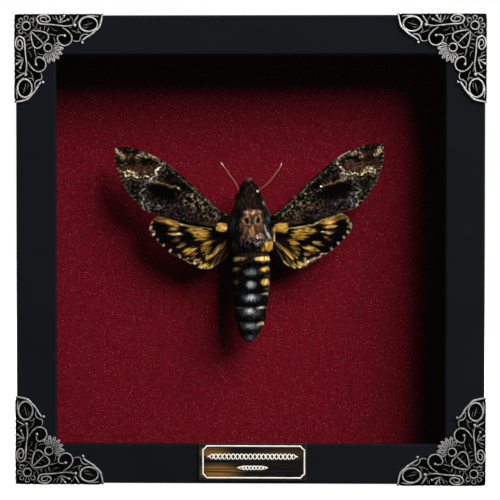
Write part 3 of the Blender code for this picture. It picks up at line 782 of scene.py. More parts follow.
bodyMarks = {
    # flanks and the skull: its cheeks, brow, eyes, nose and jaw; the blue-grey of the flanks is partly a
    # painted sheen, the right one painted lighter as a highlight, and the pale band on the brow is a painted
    # highlight
    "skull": (
        ((-0.6, 21.5, 6.5, 3.6, 0), 0.4, 0.6, "#33241C"), ((-0.9, 29.3, 1.4, 1.5, 0), 0.5, 0.8, "#6A5444"),
        # painted sheen: blue-grey flanks, the right one lighter where the lamp falls
        ((-6.9, 12.0, 2.0, 5.5, 5), 0.6, 0.75, "#33363B"), ((7.0, 13.0, 1.6, 4.2, -8), 0.6, 0.8, "#454A52"),
        # the second oval here, the pale band on the brow, is a painted highlight
        ((0.9, 11.2, 4.9, 6.6, 0), 0.2, 0.95, "#5A3E2C"), ((0.9, 16.4, 3.6, 1.2, 0), 0.4, 0.9, "#A07A5C"),
        ((-2.6, 8.6, 1.6, 3.2, 15), 0.6, 0.5, "#7A5238"),
        ((-1.4, 12.6, 1.75, 2.2, 0), 0.2, 0.95, "#B08762"),
        ((3.4, 12.6, 1.7, 2.2, 0), 0.2, 0.95, "#A27A56"),
        ((-1.4, 12.4, 0.85, 1.5, 12), 0.25, 1.0, "#0C0705"),
        ((3.5, 12.5, 0.85, 1.6, -8), 0.25, 1.0, "#080504"), ((0.8, 8.6, 0.9, 3.0, 0), 0.5, 0.85, "#A5744F"),
        ((4.2, 5.6, 1.7, 1.2, 20), 0.4, 1.0, "#C79F8A"), ((1.6, 6.2, 1.2, 0.8, 0), 0.5, 0.7, "#8C6450"),
        ((-0.6, 4.9, 0.35, 0.9, 10), 0.4, 0.9, "#C8AE9C"), ((-4.1, 6.8, 0.9, 1.2, 0), 0.5, 1.0, "#0B0706"),
        ((-3.0, 5.4, 1.1, 0.6, 0), 0.5, 0.6, "#7C5444"), ((2.4, 4.6, 4.6, 0.45, -3), 0.5, 1.0, "#0B0706"),
        ((0.5, 2.4, 6.4, 1.6, 0), 0.4, 0.95, "#0A0807"), ((7.2, 1.4, 2.2, 2.2, 0), 0.5, 0.95, "#C9952F"),
        ((-7.2, 2.0, 1.8, 2.0, 0), 0.5, 0.7, "#553A1C"), ((8.4, 9.8, 0.5, 2.6, 4), 0.4, 1.0, "#040405"),
    ),
    # (route, half width, colour): first a painted highlight along the lit right rim of the thorax, then dark
    # lines by the skull
    "rimHighlightAndDarkLines": (
        (((5.2, 20.4), (7.2, 17.6), (8.8, 13.8), (9.3, 10.5)), 0.3, "#8E8A86"),
        (((-4.6, 15.6), (-5.4, 11.5), (-4.9, 7.8)), 0.45, "#100C0B"),
        (((6.0, 15.8), (6.3, 12.0), (6.0, 9.6)), 0.5, "#0E0B0A"),
        (((-1.2, 10.2), (0.1, 9.6), (0.8, 11.6)), 0.3, "#21140F"),
    ),
    # yellow bars at the sides of the rings, then blue-grey saddles down the middle; the left bars are painted
    # darker than the right ones as shade, the whitish right bars on the lower rings are partly painted rim
    # light, and the saddles' paler middles are painted highlights
    "rings": (
        # painted shade and light: left bars darker than their right twins, whitish right bars lower down
        # partly rim light
        ((0, -2.2, 8.5, 0.9, 0), 0.5, 0.8, "#3A321E"), ((-6.2, -4.2, 4.4, 0.8, 4), 0.4, 0.95, "#CFA668"),
        ((5.8, -4.0, 4.2, 0.9, 3), 0.4, 1.0, "#DAB268"), ((-6.9, -8.5, 2.4, 0.8, 4), 0.4, 0.95, "#A8834C"),
        ((6.9, -8.4, 2.7, 0.9, 4), 0.4, 1.0, "#CFA050"), ((-6.9, -14.0, 1.9, 1.0, 0), 0.5, 0.9, "#94703E"),
        ((7.0, -13.9, 2.2, 1.3, 6), 0.4, 1.0, "#C99C48"), ((7.4, -11.6, 1.2, 0.4, 0), 0.5, 0.7, "#A77C3A"),
        ((7.4, -17.1, 1.1, 0.4, 0), 0.5, 0.6, "#8C744C"), ((6.6, -19.0, 1.6, 0.5, 6), 0.4, 0.95, "#BFA894"),
        ((-6.2, -19.0, 1.7, 0.4, 0), 0.5, 0.6, "#7D6B58"), ((5.4, -25.0, 2.4, 0.6, 5), 0.4, 1.0, "#E6D2B8"),
        ((-5.2, -25.2, 2.2, 0.4, 0), 0.5, 0.9, "#B5A590"),
        ((4.9, -31.9, 1.9, 0.8, 15), 0.4, 1.0, "#E6BE88"),
        ((-4.6, -31.6, 1.5, 0.45, 0), 0.5, 0.7, "#9A8672"),
        ((3.9, -37.0, 0.8, 0.5, 20), 0.4, 0.9, "#C9A06C"), ((0.3, -9.7, 2.0, 1.2, 0), 0.9, 1.0, "#7D8186"),
        # painted highlight: the paler ovals laid inside the saddles
        ((0.3, -15.2, 1.7, 1.3, 0), 0.7, 1.0, "#B4B7BA"), ((0.2, -20.9, 2.8, 1.3, 0), 0.9, 0.9, "#7C8084"),
        ((0.2, -20.7, 1.4, 0.9, 0), 0.9, 0.9, "#C4C6C8"), ((0.0, -27.0, 3.2, 1.4, 0), 0.9, 0.9, "#74787C"),
        ((0.0, -26.6, 1.6, 1.0, 0), 0.9, 0.9, "#C8CACC"),
        ((-0.1, -33.0, 3.1, 1.2, 0), 0.9, 0.95, "#6E7276"),
        ((0.3, -33.0, 2.2, 0.7, 0), 0.9, 0.7, "#A9ACAF"),
        ((-0.5, -37.9, 1.9, 1.1, 0), 0.9, 0.95, "#666A6C"),
        ((0.0, -4.6, 2.3, 1.0, 0), 0.5, 0.95, "#15100C"),
    ),
}


def furColours(x, z, seed):
    # head and thorax, with the skull mark
    wx, wz = wandered(x, z, 0.9, 1.6, seed + 1, seed + 2)
    colours = tint(even(x, "#150F0D"), ease(0.4, 0.75, cloud(x / 0.6, z, 2.4, seed + 3)) * 0.7, "#2A1D17")
    colours = paintSpots(colours, wx, wz, bodyMarks["skull"])
    # the first of these lines is a painted highlight on the thorax's lit right rim
    for route, width, code in bodyMarks["rimHighlightAndDarkLines"]:
        colours = tint(colours, nearLine(wx, wz, route, width), code)
    colours = tint(colours, blob(wx, wz, (9.9, 7.0, 0.8, 4.2, 0)), "#C08A2C")
    # strands: light and dark locks running down the body, finer over the skull
    skull = blob(x, z, (0.9, 11.2, 5.2, 7.0), 0.3)
    lock = noise(x / 0.62, z / 1.5, seed + 4) * 0.7 + noise(x / 0.4, z / 0.6, seed + 5) * 0.3
    shade = (0.2 + 1.9 * ease(0.25, 0.85, lock)) * (1 - skull) + (0.55 + 1.5 * ease(0.2, 0.85, lock)) * skull
    # a painted highlight: a pale crescent where the lamp catches the right flank
    crescent = ((6.2, 10.4), (6.6, 8.6), (7.4, 6.9), (8.7, 4.9))
    crescentGlint = nearLine(x, z, crescent, 0.22 + 0.3 * ease(9.5, 6.5, z))
    crescentGlint = crescentGlint * (0.6 + 0.4 * noise(x / 0.5, z / 0.5, seed + 6))
    return tint(harsh(colours * shade[..., None], 0.75), crescentGlint, "#C9C2BA")


def ringColours(x, z, seed):
    # abdomen: black rings, whose markings wander less up and down than across
    wx = x + 0.7 * (cloud(x, z, 1.5, seed + 1) - 0.5)
    wz = z + 0.5 * (cloud(x / 2, z, 1.2, seed + 2) - 0.5)
    # painted sheen: the black turns bluish grey towards the right, where the lamp falls
    colours = tint(even(x, "#0D0C0D"), ease(3.0, 7.5, x) * 0.4, "#15171C")
    colours = paintSpots(colours, wx, wz, bodyMarks["rings"])
    # painted shade: a dark band along the lower edge of each ring
    for edge in bodyLook["ringEdges"][2:]:
        colours = tint(colours, np.exp(-((z - edge - 0.5) / 0.7) ** 2) * 0.8, "#050505")
    return harsh(colours * (0.35 + 1.4 * noise(x / 0.45, z / 2.2, seed + 4))[..., None], 0.65)


def skinAt(stations, height, turn, swell=None):
    # places on a skin, and the way out of it, at heights and at angles from the front
    fine = smoothLine(stations, 240)
    fine = fine[np.argsort(fine[:, 0])]
    mid, half, front, back = (np.interp(height, fine[:, 0], fine[:, k]) for k in (1, 2, 3, 4))
    reach = np.where(np.cos(turn) > 0, front, back)
    slope = np.interp(height, fine[:, 0], np.gradient(fine[:, 2], fine[:, 0]))
    places = np.stack((mid + half * np.sin(turn), -reach * np.cos(turn), height), axis=-1)
    if swell is not None:
        places[:, :2] *= swell(height)[:, None]
    out = np.stack((np.sin(turn) * reach, -np.cos(turn) * half, -slope * (half + reach) / 2), axis=-1)
    return places, unit(out)


def ringSwell(height):
    # each ring slips out from under the one above: it swells to its lower edge, then steps in
    edges = np.array(bodyLook["ringEdges"])
    found = np.clip(np.searchsorted(-edges, -height, side="right") - 1, 0, len(edges) - 2)
    share = (edges[found] - height) / (edges[found] - edges[found + 1])
    return 0.96 + 0.055 * np.sin(np.clip(share, 0, 1) * math.pi * 0.62) ** 1.2 - 0.05 * ease(0.93, 1.0, share)


def bodySkin(name, grid, colourOf, material, replaced, swell=None):
    stations = bodyLook[name]
    mesh, around, up = gridMesh(name, *grid)
    heights = np.array([s[0] for s in stations])
    height = heights.min() + (heights.max() - heights.min()) * (0.5 - 0.5 * np.cos(up * math.pi))
    movePoints(mesh, place(skinAt(stations, height, (around - 0.5) * math.tau, swell)[0], mothShift))
    bm = bmesh.new()
    bm.from_mesh(mesh)
    bmesh.ops.remove_doubles(bm, verts=bm.verts, dist=0.02 * mm)
    finishMesh(bm, mesh)
    flat = mothPlaces(mesh)
    paint(mesh, colourOf(flat[:, 0], flat[:, 2], bodyLook["seed"]))
    addPiece(name, mesh, [material], replaced)


def scaledSkin(name, roughness):
    # short scales laid flat down the body
    material, tree, shader = startMaterial(name, {"Roughness": roughness, "Specular IOR Level": 0.08})
    surface(tree, shader, paintedColour(tree), grainOf(tree, 0.22, stretch=(1, 1, 0.35)), 1.0, 0.15)
    return material


def painted(name, roughness, specular):
    # painted, with a little gloss: hair-like scales, and the antennae
    material, tree, shader = startMaterial(name, {"Roughness": roughness, "Specular IOR Level": specular})
    surface(tree, shader, paintedColour(tree))
    return material


def coat(name, stations, count, lowest, highest, reach, lift, length, lay, colourOf, material,
         swell=None):
    # hairs over a skin from one height to another and `reach` degrees either side of the front
    random = np.random.default_rng(bodyLook["seed"] + count)
    height = random.uniform(lowest, highest, count)
    turn = np.radians(random.uniform(-reach, reach, count))
    roots, out = skinAt(stations, height, turn, swell)
    x, z = roots[:, 0], roots[:, 2]
    drift = unit(np.asarray(lay(x, z), float)) + random.normal(0, 0.16, (count, 3))
    start = unit(drift + out * (lift + random.normal(0, 0.08, count))[:, None])
    end = unit(start + drift * 0.5 - out * 0.15)
    # locks: neighbours lean and shade alike
    lock = noise(x / 0.55, z / 1.1, 81)
    end = unit(end + np.stack((lock - 0.5, np.zeros(count), noise(x / 0.7, z / 0.9, 82) - 0.5), axis=1) * 0.5)
    long = length(x, z) * random.uniform(0.6, 1.25, count) * (0.8 + 0.5 * noise(x / 0.8, z / 0.8, 83))
    light = random.uniform(0.6, 1.5, count) * (0.45 + 1.1 * lock)
    shade = colourOf(x, z, bodyLook["seed"]) * light[:, None]
    # painted glints: a few pale hairs, most of them behind the skull
    collar = blob(x, z, (2.8, 4.0, 5.0, 1.7), 0.5)
    glintHairs = random.random(count) < 0.03 * (1 + 9 * collar)
    shade = shade + hexToLinear("#B8A698") * (glintHairs * (0.3 + 0.5 * collar))[:, None]
    hairs(name, roots, start, end, out, long, random.uniform(0.10, 0.24, count), shade, material)


def eyesAndAntennae():
    bm = bmesh.new()
    for x, z in ((-4.2, 23.0), (3.2, 23.3)):
        spot = Matrix.Translation(Vector(place((x, -1.9, z), mothShift)))
        bmesh.ops.create_uvsphere(bm, u_segments=32, v_segments=20, radius=1.6 * mm, matrix=spot)
    eye = startMaterial("facetedEyeCornea", {"Base Color": rgba("#120A08"), "Roughness": 0.12, "IOR": 1.5})[0]
    addPiece("eyes", meshFrom("eyes", bm), [eye])
    horn = painted("antennaChitin", 0.38, 0.35)
    share = np.linspace(0, 1, 60)
    for word, bead, line in (
        ("left", 0.0, ((-4.4, -1.6, 23.1), (-5.9, -1.9, 27.5), (-8.9, -2.0, 31.9), (-11.4, -1.8, 35.5),
                       (-12.8, -1.5, 37.4))),
        ("right", 0.75, ((2.9, -2.2, 24.7), (8.3, -2.2, 29.1), (11.0, -2.0, 32.7), (12.9, -1.7, 35.4),
                         (13.5, -1.3, 37.2))),
    ):
        name = "antenna" + word.title()
        radius = 0.17 + 0.16 * np.sin(share * math.pi * 0.85) ** 0.8 + bead * np.exp(-(share / 0.04) ** 2)
        radius *= 1 + 0.08 * (np.arange(60) % 2)      # the joints of the antenna
        radius *= 1 - ease(0.93, 1.02, share) * 0.7
        mesh = tubes(name, [np.column_stack((smoothLine(line, 60), radius))], 3, mothShift)
        x, _, z = mothPlaces(mesh).T
        # painted highlight: paler towards the tips, and a pale bead at the base of the right one
        tipHighlight = tint(even(x, "#7A5044"), ease(35.0, 37.6, z), "#E8C4B8")
        paint(mesh, tint(tipHighlight, blob(x, z, (2.9, 24.7, 0.7, 0.7)), "#C8B0A6"))
        addPiece(name, mesh, [horn], ["antenna_" + word])


def rootTufts(material):
    # yellow tufts over the roots of the wings:
    # (middle, half width, half height, lie in degrees, length, count, colour)
    random = np.random.default_rng(77)
    for name, x0, z0, rx, rz, lie, length, count, code in (
        ("rootTuftLeft", -11.6, 9.4, 1.7, 1.6, 190, 1.8, 1200, "#F2C05C"),
        ("rootTuftRight", 12.2, 9.2, 2.0, 1.6, -3, 2.4, 1400, "#EEBC54"),
        ("rootStripRight", 10.3, 6.8, 0.35, 2.8, -88, 1.3, 420, "#D8B060"),
        ("hindTuftRight", 8.8, 2.1, 1.0, 1.3, -115, 1.4, 600, "#C99A44"),
    ):
        angle, reach = random.uniform(0, math.tau, count), np.sqrt(random.random(count))
        square = np.maximum(np.abs(np.cos(angle)), np.abs(np.sin(angle))) ** 0.5
        square = square * (0.85 + 0.3 * noise(angle * 3, angle * 0, 93))
        x, z = x0 + rx * reach * np.cos(angle) / square, z0 + rz * reach * np.sin(angle) / square
        roots = np.stack((x, -2.6 - 0.8 * (1 - reach ** 2), z), axis=1)
        spread = math.radians(lie) + random.normal(0, 0.16, count) + (noise(x / 0.6, z / 0.5, 91) - 0.5) * 0.7
        start = unit(np.stack((np.cos(spread), -0.35 + random.normal(0, 0.1, count), np.sin(spread)), axis=1))
        end = unit(start + np.array((0, 0.5, 0)))
        light = random.uniform(0.6, 1.3, count) * (0.1 + 1.7 * noise(x / 1.1, z / 0.42, 92))
        shade = hexToLinear(code) * light[:, None]
        shade /= np.maximum(shade.max(axis=1, keepdims=True), 1.0)    # the brightest keep their hue
        hairs(name, roots, start, end, towardsFront, length * random.uniform(0.6, 1.2, count),
              random.uniform(0.09, 0.15, count), shade, material)


def buildBody():
    setae = painted("setae", 0.42, 0.12)
    bodySkin("foreBody", bodyLook["foreBodyGrid"], furColours, scaledSkin("furredThoraxSkin", 0.7),
             ["moth_head", "moth_thorax"])
    bodySkin("abdomen", bodyLook["abdomenGrid"], ringColours, scaledSkin("scaledAbdomenRings", 0.42),
             ["moth_abdomen"], ringSwell)

    def overSkull(x, z):
        return np.maximum(blob(x, z, (0.9, 10.5, 6.0, 7.8), 0.2), blob(x, z, (7.8, 9.5, 2.6, 6.0), 0.3))

    # name, skin, count, lowest, highest, reach, lift, then how long the hairs are and which way they lie
    coat("thoraxFur", bodyLook["foreBody"], 12000, 0.6, 19.5, 118, 0.22,
         lambda x, z: 1.7 - 1.15 * overSkull(x, z),
         lambda x, z: np.stack((x * 0.05, x * 0, -np.ones_like(x)), 1), furColours, setae)
    coat("headFur", bodyLook["foreBody"], 7000, 17.5, 29.4, 130, 0.25,
         lambda x, z: 1.1 + 0.5 * ease(25, 28, z),
         lambda x, z: np.stack((x * 0.10, x * 0, (z - 23) * 0.3 + 0.4), 1), furColours, setae)
    coat("abdomenFur", bodyLook["abdomen"], 13000, -40.0, 1.2, 112, 0.10,
         lambda x, z: 0.95 - 0.25 * ease(-8, -14, z),
         lambda x, z: np.stack((x * 0.01, x * 0, -np.ones_like(x)), 1), ringColours, setae,
         ringSwell)
    eyesAndAntennae()
    rootTufts(setae)


buildBody()
print("body furred")

# corner ornaments: silver wires pressed over a blackened sheet
# strokes are (along the arm, in from its edge) from the outer corner, with a wire radius;
# the first list is mirrored about the corner's diagonal, the second lies on it

cornerLook = {
    "sided": (
        (((10.9, 5.0), (10.8, 5.9), (10.7, 6.7)), 0.26), (((14.6, 5.3), (14.1, 6.5), (13.7, 7.6)), 0.26),
        (((17.8, 9.0), (16.0, 8.5), (14.2, 8.1)), 0.26), (((12.9, 4.3), (12.6, 5.6), (12.4, 7.0)), 0.22),
        (((25.3, 4.4), (21.7, 4.9), (18.9, 4.65), (15.8, 4.3), (10.9, 3.9), (9.6, 2.7), (9.3, 1.7),
          (10.3, 0.6), (12.9, 0.2), (15.0, 1.7), (14.2, 3.0), (12.4, 3.1), (10.9, 2.45), (11.1, 1.4),
          (12.7, 1.2), (13.4, 1.8)), 0.36),
        (((19.1, 3.5), (20.6, 3.0), (22.7, 2.2)), 0.3), (((19.1, 3.5), (19.9, 2.2), (21.0, 0.65)), 0.3),
        (((19.1, 3.5), (19.4, 1.8), (19.2, 0.2)), 0.28), (((18.8, 3.6), (18.0, 2.0), (17.3, 0.3)), 0.28),
        (((22.4, 2.2), (22.7, 2.2), (23.0, 2.2)), 0.55), (((20.7, 0.65), (21.0, 0.65), (21.3, 0.65)), 0.55),
        (((25.2, 4.5), (25.6, 4.5), (26.0, 4.5)), 0.7), (((24.8, 4.0), (26.0, 2.0), (27.1, 0.3)), 0.34),
        (((26.6, 3.6), (28.4, 2.2), (30.5, 0.9), (33.0, 0.6), (35.7, 0.9)), 0.32),
        (((37.3, 0.2), (36.2, 4.8), (34.4, 6.8), (32.6, 8.4), (30.5, 9.7), (28.7, 11.0)), 0.45),
        (((28.5, 11.8), (28.8, 11.9), (29.1, 12.0)), 0.6), (((27.4, 5.3), (26.9, 6.9), (28.4, 8.1)), 0.26),
        (((20.2, 5.5), (22.3, 6.8), (23.9, 8.6), (24.3, 10.4), (23.4, 12.3), (21.4, 13.2), (19.4, 12.5),
          (18.1, 10.4), (18.6, 9.0), (20.2, 8.7), (21.3, 9.1)), 0.34),
        (((20.9, 8.8), (21.3, 9.0), (21.6, 9.3)), 0.55),
        (((24.5, 10.9), (26.1, 11.4), (27.6, 11.1), (27.9, 9.8), (29.2, 8.5), (31.5, 8.5)), 0.3),
        (((22.0, 4.7), (23.2, 5.2), (24.5, 5.8)), 0.24), (((24.0, 6.5), (26.0, 7.4), (28.2, 8.0)), 0.24),
        (((7.2, 6.7), (10.9, 7.1), (13.7, 8.1), (14.3, 9.9), (13.4, 11.2), (12.1, 12.3)), 0.34),
        (((8.6, 9.0), (9.9, 8.8), (11.2, 8.2)), 0.2), (((10.2, 10.5), (11.7, 10.0), (13.0, 9.0)), 0.2),
        (((29.2, 4.6), (31.4, 4.1), (33.6, 3.4)), 0.24), (((30.3, 2.2), (31.6, 3.4), (32.4, 5.6)), 0.18),
        (((0.6, 8.2), (3.0, 9.6), (5.4, 9.0), (7.2, 6.7)), 0.24),
        (((0.4, 12.0), (2.6, 13.6), (5.4, 13.2)), 0.24), (((0.4, 23.5), (2.0, 24.6), (4.2, 24.9)), 0.22),
        (((7.6, 0.3), (8.2, 2.2), (7.6, 4.2), (8.8, 5.4)), 0.24),
        (((16.0, 0.3), (16.4, 1.6), (17.6, 2.4)), 0.24), (((23.6, 0.3), (23.9, 1.2), (23.4, 2.0)), 0.24),
        (((8.6, 5.6), (9.8, 6.2), (10.7, 6.7)), 0.22), (((15.2, 5.2), (16.6, 6.6), (18.4, 6.9)), 0.22),
        (((16.2, 9.4), (17.0, 10.8), (16.9, 12.4)), 0.24), (((28.6, 5.2), (30.2, 5.6), (31.6, 5.0)), 0.22),
    ),
    "sidedRings": ((31.35, 4.1, 3.9, 3.1, 0.42),),
    "middle": ((((6.8, 7.1), (9.5, 9.7), (12.1, 12.3)), 0.32),),
    "middleRings": ((4.8, 4.8, 1.75, 1.75, 0.34), (14.1, 14.1, 1.75, 1.75, 0.34)),
    # petals: (centre, radius to start, radius to end, half width, wire, directions)
    "petals": (
        (4.8, 2.0, 4.3, 0.95, 0.28, (-45, -90, -135, 180, 135)),
        (14.1, 2.3, 6.5, 0.58, 0.31, (3, 24, 45, 66, 87)), (14.1, 2.3, 5.2, 0.55, 0.3, (-20, 110)),
        (14.1, 4.6, 5.9, 0.2, 0.3, (3, 24, 45, 66, 87)),
    ),
    # the sheet's outline: (degrees, distance)
    "reach": (
        (0, 37.8), (6, 36.4), (11, 34.4), (16, 31.4), (20, 31.2), (22, 31.2), (25, 27.6), (29, 26.8),
        (32, 25.4), (35, 24.2), (38, 26.0), (45, 26.7),
    ),
    "sheet": 0.28, "foldDepth": 7.0, "inset": 0.45, "wireShare": 1.06,
}
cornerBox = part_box("corner_top_right")
cornerOut = (cornerBox[1].x - centre.x) / mm             # the outer planes, from the middle of the frame
cornerFront = (cornerBox[0].y - mothDepth) / mm          # the frontmost relief, from the moth's plane
sheetFront = cornerFront + 0.85


def petal(middle, start, end, half, direction):
    # a pointed loop, as places in the corner's own plane
    angle = math.radians(direction)
    cosine, sine = math.cos(angle), math.sin(angle)
    shape = ((start, -0.2 * half), (start + (end - start) * 0.68, -half), (end - 0.3, -0.5 * half), (end, 0),
             (end - 0.3, 0.5 * half), (start + (end - start) * 0.68, half), (start, 0.2 * half))
    return [(middle + r * cosine - w * sine, middle + r * sine + w * cosine) for r, w in shape]


def ring(cx, cz, rx, rz):
    turns = np.linspace(0, math.tau, 15)
    return [(cx + rx * math.cos(t), cz + rz * math.sin(t)) for t in turns]


def cornerStrokes():
    # every stroke of one corner, as points and a radius
    found = []
    for points, radius in cornerLook["sided"]:
        found += [(points, radius), ([(b, a) for a, b in points], radius)]
    for cx, cz, rx, rz, radius in cornerLook["sidedRings"]:
        found += [(ring(cx, cz, rx, rz), radius), (ring(cz, cx, rz, rx), radius)]
    found += list(cornerLook["middle"])
    found += [(ring(cx, cz, rx, rz), radius) for cx, cz, rx, rz, radius in cornerLook["middleRings"]]
    for middle, start, end, half, radius, directions in cornerLook["petals"]:
        found += [(petal(middle, start, end, half, d), radius) for d in directions]
    return found


def folded(points, side, rise):
    # corner places to the frame: beyond either edge they run back along the side of the rail
    a, b, lift = points.T
    overA, overB = np.maximum(-a, 0), np.maximum(-b, 0)
    inset = cornerLook["inset"]
    out = cornerOut - inset
    flush = inset - (lift - 0.1) / 0.8                    # along the sides no wire stands out past the corner
    x = out - np.maximum(a, 0) + np.where(overA > 0, flush, 0)
    z = out - np.maximum(b, 0) + np.where(overB > 0, flush, 0)
    y = sheetFront + np.maximum(overA, overB) - np.where((overA > 0) | (overB > 0), 0, lift - 0.25)
    return np.stack((side * x, y, rise * z), axis=1)


def silverOverPatina():
    # cast antique silver: polished tops, blackened in the hollows
    material, tree, shader = startMaterial("castAntiqueSilver", {"Metallic": 0.3, "Roughness": 0.33})
    tarnish = grainOf(tree, 1.6, 3)
    surface(tree, shader, paintedColour(tree, remap(tree, tarnish, 0.3, 0.7, 0.55, 1.15)), tarnish, 0.4, 0.15)
    return material


def cornerWires(strokes, side, rise):
    # each stroke on the face, and again shortened on either side of the frame
    routes = []
    for points, radius in strokes:
        points = np.asarray(points, float)
        run = np.linalg.norm(np.diff(points, axis=0), axis=1).sum()
        fine = smoothLine(points, max(4, int(run / 0.55)))
        spread = np.linspace(0, 1, len(fine))
        radii = cornerLook["wireShare"] * radius * (0.72 + 0.28 * np.sin(spread * math.pi) ** 0.5)
        radii = radii * (1 + 0.05 * np.cos(spread * 40))
        for fold in ((1, 1), (1, -0.85), (-0.85, 1)):
            kept = np.full(len(fine), True)
            if min(fold) < 0:
                kept = fine[:, 0 if fold[0] < 0 else 1] * 0.85 < cornerLook["foldDepth"] - 0.5
            if kept.sum() >= 3:
                lifted = np.column_stack((fine[kept] * fold, radii[kept] * 0.8 + 0.1))
                routes.append(np.column_stack((folded(lifted, side, rise), radii[kept])))
    return routes


def addSheet(bm, corners, outward):
    # one flat sheet through the corners, thickened away from the relief
    sheet = bm.faces.new([bm.verts.new(place(corner)) for corner in corners])
    sheet.normal_update()
    if sheet.normal.dot(outward) < 0:
        sheet.normal_flip()
    grown = bmesh.ops.extrude_face_region(bm, geom=[sheet])
    moved = [v for v in grown["geom"] if isinstance(v, bmesh.types.BMVert)]
    bmesh.ops.translate(bm, vec=-outward * cornerLook["sheet"] * mm, verts=moved)


def buildCorners():
    silver = silverOverPatina()
    patina = grainy("blackPatinaSheet", "#020202", "#0A0A0B", 0.9, 0.8, 0.04, specular=0.08)
    strokes = cornerStrokes()
    arc = [(r * math.cos(math.radians(a)), r * math.sin(math.radians(a))) for a, r in cornerLook["reach"]]
    half = [tuple(p) for p in smoothLine(arc, 40) * 0.985]
    outline = [(0.2, 0.2)] + half + [(b, a) for a, b in reversed(half[:-1])]
    depth = cornerLook["foldDepth"]
    face, edge = cornerOut - cornerLook["inset"], cornerOut - 0.3
    # the bottom corners' silver is painted darker than the top ones', as shade under light from above
    for word, side, rise, paintedLightSilver in (("TopLeft", -1, 1, "#E4E2DD"), ("TopRight", 1, 1, "#E4E2DD"),
                                    ("BottomLeft", -1, -1, "#C8C6C1"), ("BottomRight", 1, -1, "#C8C6C1")):
        mesh = tubes("corner" + word, cornerWires(strokes, side, rise), 1)
        x, y, z = ((pointsOf(mesh) - place((0, 0, 0))) / mm).T
        height = np.maximum(sheetFront - y, np.maximum(np.abs(x), np.abs(z)) - face)
        paint(mesh, tint(even(x, "#0C0C0C"), ease(0.14, 0.46, height), paintedLightSilver))
        # the sheet behind, folded over both edges
        bm = bmesh.new()
        bm.from_mesh(mesh)
        wires = len(bm.faces)
        flat = [(side * (face - a), sheetFront, rise * (face - b)) for a, b in outline]
        addSheet(bm, flat, Vector(towardsFront))
        rim = ((0.2, 0.0), (36.4, 0.0), (33.6, depth), (0.2, depth))
        addSheet(bm, [(side * (edge - run), sheetFront + back, rise * edge) for run, back in rim],
                 Vector((0, 0, rise)))
        addSheet(bm, [(side * edge, sheetFront + back, rise * (edge - run)) for run, back in rim],
                 Vector((side, 0, 0)))
        for number, meshFace in enumerate(bm.faces):
            meshFace.material_index = 0 if number < wires else 1
        finishMesh(bm, mesh)
        node = "corner_" + ("top_" if rise > 0 else "bottom_") + ("left" if side < 0 else "right")
        addPiece("corner" + word, mesh, [silver, patina], [node])


buildCorners()
print("corners pressed")

# name plate: brushed bronze, a notched line round it, and a plain plaited ornament for a title

plateLook = {
    "grid": (240, 84), "inset": (1.15, 1.2), "notch": 1.5, "line": 0.42, "thread": 0.3,
    # plaits: (height, half length, half width, pitch)
    "upper": (2.3, 19.4, 1.15, 3.7), "lower": (-2.5, 6.6, 0.85, 2.9),
    "dark": "#0E0D0A", "olive": "#3A3628", "paintedReflection": "#C08844",
}


def plateColours(x, z):
    streak = noise(x / 14, z / 0.16, 61) * 0.6 + noise(x / 30, z / 0.5, 62) * 0.4
    colours = tint(even(x, plateLook["dark"]), ease(0.35, 0.75, streak) * 0.7, plateLook["olive"])
    # painted reflections: warm golden patches on the brushed bronze, most of them on the left
    for spot, much in (((-16.5, 4.0, 5.5, 2.0), 0.7), ((-14.5, -4.0, 7.5, 2.4), 1.0),
                       ((13, 3.4, 9, 2.0), 0.2)):
        colours = tint(colours, blob(x, z, spot, 0.8) * much * ease(0.2, 0.6, streak), plateLook["paintedReflection"])
    # painted highlight: a lighter edge all round the plate
    rim = np.maximum(np.abs(x) - 22.3, np.abs(z) - 7.4)
    return harsh(tint(colours, ease(-0.1, 0.3, rim) * 0.6, "#4A4434"), 0.8)


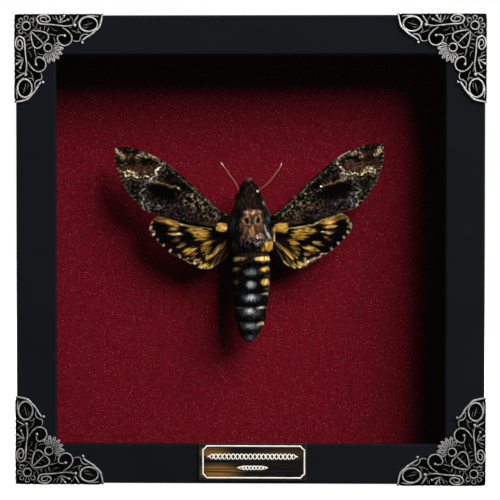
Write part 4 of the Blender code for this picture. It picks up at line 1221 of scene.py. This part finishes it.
def buildPlate():
    low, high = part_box("name_plate")
    middleX = ((low.x + high.x) / 2 - centre.x) / mm
    middleZ = ((low.z + high.z) / 2 - centre.z) / mm + 0.5
    halfX, halfZ = (high.x - low.x) / 2 / mm, (high.z - low.z) / 2 / mm
    front = (low.y - mothDepth) / mm
    mesh, across, up = gridMesh("plate", *plateLook["grid"])
    x, z = (across * 2 - 1) * halfX, (up * 2 - 1) * halfZ
    # rounded corners: the rim is drawn in where both sides end
    over = np.hypot(np.maximum(np.abs(x) - halfX + 0.8, 0), np.maximum(np.abs(z) - halfZ + 0.8, 0))
    pull = np.where(over > 0.8, 0.8 / np.maximum(over, 1e-6), 1)
    for line, flat in ((x, halfX - 0.8), (z, halfZ - 0.8)):
        past = np.abs(line) > flat
        line[past] = (np.sign(line) * (flat + (np.abs(line) - flat) * pull))[past]
    edge = np.maximum(np.abs(x) - halfX, np.abs(z) - halfZ)
    y = front + 0.22 + 0.2 * ease(-0.3, 0, edge)
    movePoints(mesh, place(np.stack((middleX + x, y, middleZ + z), axis=1)))
    paint(mesh, plateColours(x, z))
    bm = bmesh.new()
    bm.from_mesh(mesh)
    grown = bmesh.ops.extrude_face_region(bm, geom=list(bm.faces))
    for vert in (v for v in grown["geom"] if isinstance(v, bmesh.types.BMVert)):
        vert.co.y = high.y
    finishMesh(bm, mesh)
    bronze, tree, shader = startMaterial("brushedBronze", {"Metallic": 0.35, "Roughness": 0.38})
    surface(tree, shader, paintedColour(tree), grainOf(tree, 0.12, stretch=(0.02, 1, 1)), 0.5, 0.05)
    addPiece("namePlate", mesh, [bronze], ["name_plate"])

    # printed cream line with notched corners, and the plaits
    insetX, insetZ = plateLook["inset"]
    outX, outZ, notch = halfX - insetX, halfZ - insetZ, plateLook["notch"]
    quarter = [(outX, outZ - notch - 0.5), (outX, outZ - notch), (outX - notch * 0.3, outZ - notch * 0.9),
               (outX - notch * 0.9, outZ - notch * 0.3), (outX - notch, outZ), (outX - notch - 0.5, outZ)]
    around = quarter + [(-a, b) for a, b in reversed(quarter)] + [(-a, -b) for a, b in quarter] \
        + [(a, -b) for a, b in reversed(quarter)] + quarter[:2]
    depth = front + 0.2
    routes = [np.array([(middleX + 0.45 + a * 0.992, depth, middleZ + b, plateLook["line"])
                        for a, b in around])]
    for height, half, wide, pitch in (plateLook["upper"], plateLook["lower"]):
        run = np.linspace(-half, half, int(half * 14))
        taper = ease(half, half - 2.5, np.abs(run)) * wide
        for phase in (0, math.pi):
            wave = np.sin(run / pitch * math.tau + phase) * taper
            thread = plateLook["thread"] * (0.75 + 0.5 * np.abs(np.cos(run / pitch * math.tau)))
            level = np.full(len(run), depth)
            routes.append(np.column_stack((middleX + run, level, middleZ + height + wave, thread)))
        for spot in np.arange(-half + pitch * 0.75, half - pitch * 0.5, pitch / 2):
            routes.append(np.array([(middleX + spot + dot, depth, middleZ + height, radius)
                                    for dot, radius in ((-0.16, 0.2), (0, 0.34), (0.16, 0.2))]))
    cream = grainy("creamEnamel", "#F4ECDC", "#FFFCF4", 1.0, 0.45, 0.01)
    mesh = tubes("plateOrnament", routes, 1)
    points = pointsOf(mesh)
    # pressed half as deep as it is wide
    flattened = mothDepth + (front + 0.3) * mm + (points[:, 1] - mothDepth - depth * mm) * 0.5
    points[:, 1] = np.maximum(flattened, low.y + 0.02 * mm)
    movePoints(mesh, points)
    addPiece("plateOrnament", mesh, [cream])


buildPlate()
print("plate engraved")
